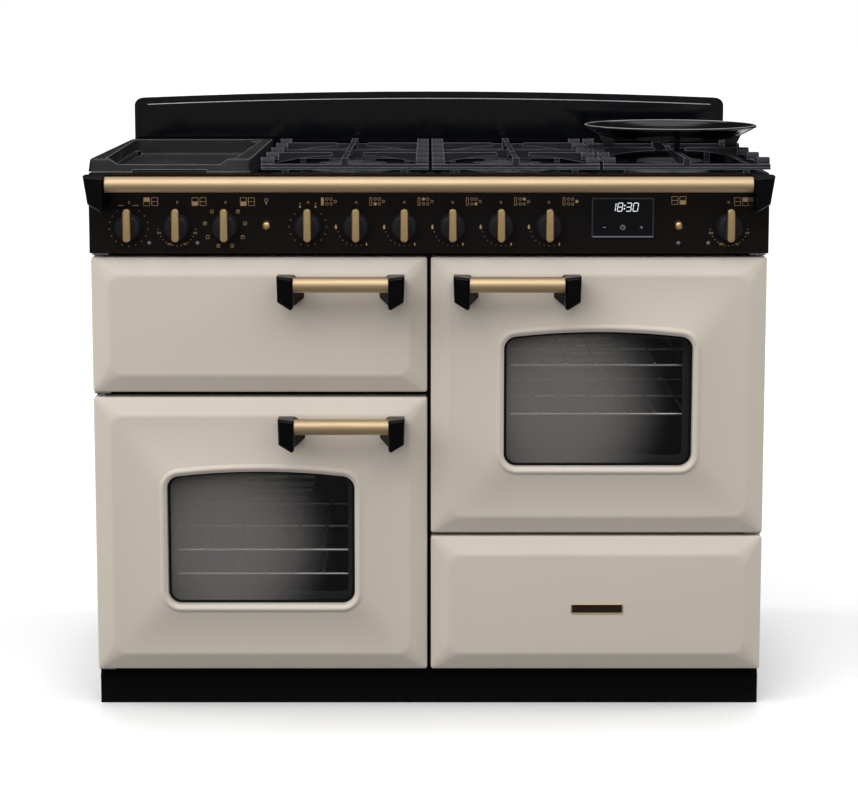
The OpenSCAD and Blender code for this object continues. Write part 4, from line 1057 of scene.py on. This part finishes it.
@dataclass
class Clock:
    """The display: slanted segments that show the time, three touch symbols and a bezel.

    Attributes:
        time: four digits.
        starts: x of each digit's left side from the middle of the display.
        slant: how far a digit leans, as a share of its height.
        height, width, stroke: size of a digit, and width of its strokes.
        digits_up, symbols_up: height of the digits' foot and the symbols' middle over the display's foot.
    """

    time: str = "1830"
    starts: tuple[float, ...] = (-0.0203, -0.0093, 0.0047, 0.0157)
    slant: float = 0.14
    height: float = 0.0132
    width: float = 0.0076
    stroke: float = 0.001
    digits_up: float = 0.0425
    symbols_up: float = 0.0165

    SEGMENTS = {"0": "abcdef", "1": "bc", "3": "abcdg", "8": "abcdefg"}
    # Middle of each segment, as shares of a digit's width and height.
    PLACES = {"a": (0.5, 1.0), "b": (1.0, 0.75), "c": (1.0, 0.25), "d": (0.5, 0.0), "e": (0.0, 0.25),
              "f": (0.0, 0.75), "g": (0.5, 0.5)}
    # Inset of the bezel's section from the display's outline, and how far it stands out.
    RIM = ((0.0, 0.0), (0.0, 0.0006), (0.0014, 0.0009), (0.0024, 0.0004), (0.0024, 0.0))

    def __post_init__(self) -> None:
        """Reads the display's place and size from its CAD node."""
        self.box = Box("clock_display")

    def plate(self, piece: Piece, outline: Array, x: float) -> None:
        """Adds a thin plate on the glass, from the digits' foot, moved by x."""
        rings = [(outline, self.box.front + y) for y in (-0.0002, 0.0001)]
        piece.grid(layers(*rings, x=x, z=self.box.foot + self.digits_up))

    def segment(self, piece: Piece, name: str, x: float) -> None:
        """Adds one of the seven strokes of a digit as a six-sided plate.

        Args:
            piece: the piece that takes it.
            name: a to g, as segments are usually lettered.
            x: left of the digit.
        """
        flat = name in "adg"
        long, half = (self.width if flat else self.height / 2) / 2 - 0.0003, self.stroke / 2
        stroke = np.array([(-long, 0), (-long + half, -half), (long - half, -half), (long, 0),
                           (long - half, half), (-long + half, half)])
        if not flat:
            stroke = stroke[:, ::-1] * [-1, 1]
        points = stroke + np.array(self.PLACES[name]) * [self.width, self.height]
        points[:, 0] += points[:, 1] * self.slant
        self.plate(piece, points, x)

    def symbols(self) -> None:
        """Makes the minus, the clock face and the plus under the digits."""
        piece = Piece("clock_symbols", "cabinet", "display_glass", DIM, sharp=20.0)
        marks = Marks(piece, front=self.box.front)
        x, row, side, arm, line = self.box.x, self.box.foot + self.symbols_up, 0.030, 0.0050, 0.0008
        marks.bar(x - side + 0.0005, row, arm, line)
        marks.bar(x + side, row, arm, line)
        marks.bar(x + side, row, line, arm)
        marks.ring(x, row, 0.0040, line)
        marks.bar(x, row + 0.0012, 0.0007, 0.0026)
        marks.bar(x + 0.0009, row, 0.0020, 0.0007)
        piece.build()

    def build(self) -> None:
        """Makes the lit digits with their colon, the symbols and the bezel."""
        box = self.box
        digits = Piece("clock_digits", "cabinet", "display_glass", LIT, sharp=20.0)
        for start, digit in zip(self.starts, self.time):
            for name in self.SEGMENTS[digit]:
                self.segment(digits, name, box.x + start)
        for up in (0.3 * self.height, 0.7 * self.height):
            self.plate(digits, turn(0, 330, 12, (self.slant * up, up), 0.0011), box.x + 0.0017)
        digits.build()
        self.symbols()
        Piece("clock_bezel", "cabinet", "display_glass", BEZEL, sharp=30.0).grid(
            layers(*[(arched_outline(box.width, box.height, 0.003, grow=-inset, corner=5), box.front - out)
                     for inset, out in self.RIM], x=box.x, z=box.foot), closed_rows=True).build()


@dataclass
class HobTrim:
    """Small pieces of the hob and the fascia, with painted highlight and shade: the splashback's pale lip, a
    dark sheet behind its vents and dark rings round the push buttons; and the bare plate on the drawer.

    Attributes:
        arch: rise of the splashback's top edge.
        lip_drop, lip_in: how far its folded lip runs under that edge, and ends short of the sides.
        vents, vents_in, hollow: height of the dark sheet of painted shade behind the vents, its distance from
            the sides, and its depth.
        plate_w, plate_h, plate_up: size of the plate, and height of its foot over the drawer's.
    """

    arch: float = 0.012
    lip_drop: float = 0.011
    lip_in: float = 0.024
    vents: float = 0.025
    vents_in: float = 0.022
    hollow: float = 0.012
    plate_w: float = 0.0815
    plate_h: float = 0.0130
    plate_up: float = 0.0985

    # Height and depth of the lip's three edges, from the arc that it follows.
    WEDGE = ((-0.0016, 0.0004), (0.0016, 0.0021), (-0.0016, 0.0021))
    # Radius of a button ring's section, and y from the fascia.
    COLLAR = ((0.0069, 0.0), (0.0069, -0.0012), (0.0076, -0.0018), (0.0084, -0.0012), (0.0086, 0.0))
    # How far the outline of the plate's edge grows, and y from the drawer's face.
    EDGE = ((0.0, 0.0), (0.0, -0.0014), (0.0009, -0.0017), (0.0016, -0.0014), (0.0016, 0.0))

    def splash_lip(self) -> None:
        """Makes the sloped fold of the splashback: a wedge carried along its arch, in pale metal that paints
        a highlight on the black fold.
        """
        back = Box("splashback")
        sweep = (back.width**2 / 4 + self.arch**2) / (2 * self.arch) - self.lip_drop
        half = math.degrees(math.asin((back.width / 2 - self.lip_in) / sweep))
        outward, section = turn(90 - half, 90 + half, 80, (0.0, 0.0), 1.0), np.array(self.WEDGE)
        radius = sweep + section[:, 0]
        Piece("splashback_lip", "cabinet", "hob_enamel", LIP_HIGHLIGHT, sharp=20.0).grid(
            np.stack([outward[:, :1] * radius, back.front + section[:, 1] + 0 * outward[:, :1],
                      back.top - self.lip_drop - sweep + outward[:, 1:] * radius], -1)).build()

    def vent_shade(self) -> None:
        """Makes the dark sheet behind the splashback's vents: painted shade, standing in for the dark inside
        of the vents.
        """
        back = Box("splashback")
        half, y, z = back.width / 2 - self.vents_in, back.front + self.hollow, Box("hob_tray").top + 0.001
        edge = np.array([(half, z), (half, z + self.vents), (-half, z + self.vents), (-half, z)])
        # Painted shade: a dark sheet where there is only the shade inside the vents.
        Piece("splashback_baffle", "cabinet", "hob_enamel", PANEL_BLACK).grid(
            layers((edge, y), (edge, y + 0.001))).build()

    def button_rings(self) -> None:
        """Makes a brass ring round each push button, coloured dark as painted shade of the recess round the
        button.
        """
        rings = Piece("button_rings", "cabinet", "brass", SHADED_BRASS, sharp=30.0)
        for button in (Box("light_button"), Box("timer_button")):
            rings.grid(revolve(np.array(self.COLLAR), (button.x, FACE_Y, button.z), 40), closed_rows=True)
        rings.build()

    def badge(self) -> None:
        """Makes the bare plate on the drawer: a dark field in a fine brass edge."""
        drawer = Box("drawer_front")
        for name, slot, finish, section in (
                ("badge_plate", "fascia_enamel", BADGE, ((0.0, -0.0012), (0.0, 0.0))),
                ("badge_edge", "brass", BAR_BRASS, self.EDGE)):
            outlines = [(arched_outline(self.plate_w, self.plate_h, 0.0008, grow=grow, corner=4), FACE_Y + y)
                        for grow, y in section]
            grid = layers(*outlines, x=drawer.x + 0.001, z=drawer.foot + self.plate_up)
            Piece(name, "drawer", slot, finish, sharp=30.0).grid(grid, closed_rows=len(section) > 2).build()

    def build(self) -> None:
        """Makes all the trim."""
        self.splash_lip()
        self.vent_shade()
        self.button_rings()
        self.badge()


@dataclass
class Studio:
    """Floor, lights, background and camera.

    Attributes:
        distance: from the camera to the door faces.
        height: of the camera over the floor.
        pitch: how far it looks down, in radians.
        focal: focal length in pixels of the photograph.
        shift: vertical shift as a share of the width.
        photo_width: width of the photograph in pixels.
        level: brightness of the light from all round.
        pale: how much light the floor throws towards the eye.
        thrown: how much it throws back on to the cooker.
    """

    distance: float = 3.498
    height: float = 1.160
    pitch: float = 0.1234
    focal: float = 2189.2
    shift: float = -0.15
    photo_width: int = 858
    level: float = 0.5
    pale: float = 0.66
    thrown: float = 0.12

    # Elevation and azimuth from straight in front towards the right, spread, and level of each far-off light.
    LAMPS = {"key": (22.0, -35.0, 70.0, 0.42), "left": (32.0, -88.0, 40.0, 0.50),
             "right": (32.0, 88.0, 40.0, 0.58), "top": (80.0, 180.0, 20.0, 0.52)}
    # Middle, aim, width and height in metres, and watts of the soft box near the cooker.
    NEAR = ((-0.35, FACE_Y - 1.45, 2.3), (-0.1, FACE_Y, 0.6), (3.0, 1.2), 30.0)
    # Two opposite corners and the tone of each card that only reflections see.
    FLAGS = {"front_flag": ((-5, -6, 0.01), (5, -6, 2.0), 0.7),
             "floor_flag": ((-5, -6, 0.004), (5, -0.28, 0.004), 0.12),
             "left_flag": ((-4, -5, 0.01), (-4, 3, 4.0), 0.03),
             "right_flag": ((4, -5, 0.01), (4, 3, 4.0), 0.03),
             "back_flag": ((-4, 3, 0.01), (4, 3, 5.0), 0.03)}

    @staticmethod
    def add(name: str, data: Any, place: Sequence[float] = (0.0, 0.0, 0.0),
            turned: Sequence[float] = (0.0, 0.0, 0.0)) -> bpy.types.Object:
        """Puts a camera, a lamp or a card into the scene, turned by so much about X, Y and Z, in radians."""
        made = bpy.data.objects.new(name, data)
        made.location, made.rotation_euler = place, turned
        bpy.context.scene.collection.objects.link(made)
        return made

    def camera(self) -> None:
        """Puts the camera where the photograph was taken from."""
        data = bpy.data.cameras.new("camera")
        data.sensor_width = 36.0
        data.lens = self.focal / self.photo_width * data.sensor_width
        data.shift_y = self.shift
        bpy.context.scene.camera = self.add("camera", data, (0.0, FACE_Y - self.distance, self.height),
                                            (math.pi / 2 - self.pitch, 0.0, 0.0))

    def seen(self, graph: Graph) -> Sock:
        """1 for what the camera, a reflection or a pane shows, 0 for the light on surfaces."""
        path = graph.node("ShaderNodeLightPath")
        camera, glossy, through = (Sock(graph, path.outputs[f"Is {kind} Ray"])
                                   for kind in ("Camera", "Glossy", "Transmission"))
        return camera.larger(glossy).larger(through)

    def world(self) -> None:
        """Makes the white background, and a plain level of light from all round."""
        world = bpy.data.worlds.new("studio")
        world.use_nodes = True
        bpy.context.scene.world = world
        graph = Graph(world.node_tree)
        light = world.node_tree.nodes["Background"]
        light.inputs["Color"].default_value = (1.0, 1.0, 1.0, 1.0)
        graph.feed(light, {"Strength": self.level + (1.0 - self.level) * self.seen(graph)})

    def lamp(self, name: str, elevation: float, azimuth: float, spread: float, level: float) -> None:
        """Adds one very soft, far-off light, as bright as its level on a white surface that faces it."""
        data = bpy.data.lights.new(name, "SUN")
        data.energy, data.angle = level * math.pi, math.radians(spread)
        made = self.add(name, data, turned=(math.radians(90.0 - elevation), 0.0, math.radians(azimuth)))
        made.visible_glossy = False

    def soft_box(self, name: str, place: Sequence[float], aim: Sequence[float], size: tuple[float, float],
                 power: float) -> None:
        """Adds one soft box near the cooker.

        Args:
            name: the lamp's name.
            place: its middle.
            aim: the point that it faces.
            size: its width and height, in metres.
            power: its power, in watts.
        """
        data = bpy.data.lights.new(name, "AREA")
        data.shape, data.size, data.size_y, data.energy = "RECTANGLE", *size, power
        self.add(name, data, place, (Vector(aim) - Vector(place)).to_track_quat("-Z", "Y").to_euler())

    def card(self, name: str, low: Sequence[float], high: Sequence[float], tone: float) -> bpy.types.Object:
        """Makes a flat grey card of the studio, between two opposite corners that share one coordinate."""
        first, second = (axis for axis in range(3) if low[axis] != high[axis])
        corners = [list(low), list(low), list(high), list(low)]
        corners[1][first], corners[3][second] = high[first], high[second]
        mesh = bpy.data.meshes.new(name)
        mesh.from_pydata(corners, [], [(0, 1, 2, 3)])
        mesh.materials.append(Finish(f"{name}_card", (tone,) * 3, 0.9, specular=0.0).material())
        made = self.add(name, mesh)
        return made

    def flag(self, name: str, low: Sequence[float], high: Sequence[float], tone: float) -> None:
        """Makes a card that only reflections see, as a photographer sets beside the lens."""
        made = self.card(name, low, high, tone)
        made.visible_camera = made.visible_diffuse = made.visible_shadow = made.visible_transmission = False

    def floor(self) -> None:
        """Makes the floor: pale to the eye and in reflections, darker in the light that it throws back up."""
        tree = self.card("floor", (-40, -40, 0), (40, 40, 0), self.pale).data.materials[0].node_tree
        graph = Graph(tree)
        graph.feed(tree.nodes["Principled BSDF"],
                   {"Base Color": graph.mix(self.seen(graph), (self.thrown,) * 3, (self.pale,) * 3)})

    def build(self) -> None:
        """Sets up the whole studio."""
        bpy.context.scene.view_settings.view_transform = "Standard"
        self.camera()
        self.world()
        self.floor()
        for name, settings in self.LAMPS.items():
            self.lamp(name, *settings)
        self.soft_box("near", *self.NEAR)
        for name, settings in self.FLAGS.items():
            self.flag(name, *settings)


def dress_nodes() -> None:
    """Gives every CAD node that shows its finish."""
    for finish, names in NODE_FINISHES.items():
        material = finish.material()
        for name in names:
            node = frame["nodes"][name]
            if not node.data.materials:
                node.data.materials.append(material)
            for slot in node.material_slots:
                slot.material = material


def main() -> None:
    """Builds the studio and the sub-assemblies in order."""
    logging.basicConfig(level=logging.INFO, format="%(message)s")
    Studio().build()
    dress_nodes()
    doors = {"grill_door": "grill_door", "left_door": "left_oven_door", "right_door": "right_oven_door"}
    for door, body in doors.items():
        Front(f"{door}_skin", body, window=door != "grill_door").build()
    Front("drawer_front", "drawer", window=False).build()
    for door, body in doors.items():
        Handle(f"{door}_brackets", f"{door}_handle", body).build()
    Handle("handrail_brackets", "handrail_tube", "cabinet", width=0.034, foot=0.001, tall=0.031,
           lean=0.007).build()
    for number in range(1, 11):
        Knob(number).build()
    Marks().build()
    Clock().build()
    HobTrim().build()


if __name__ == "__main__":
    main()
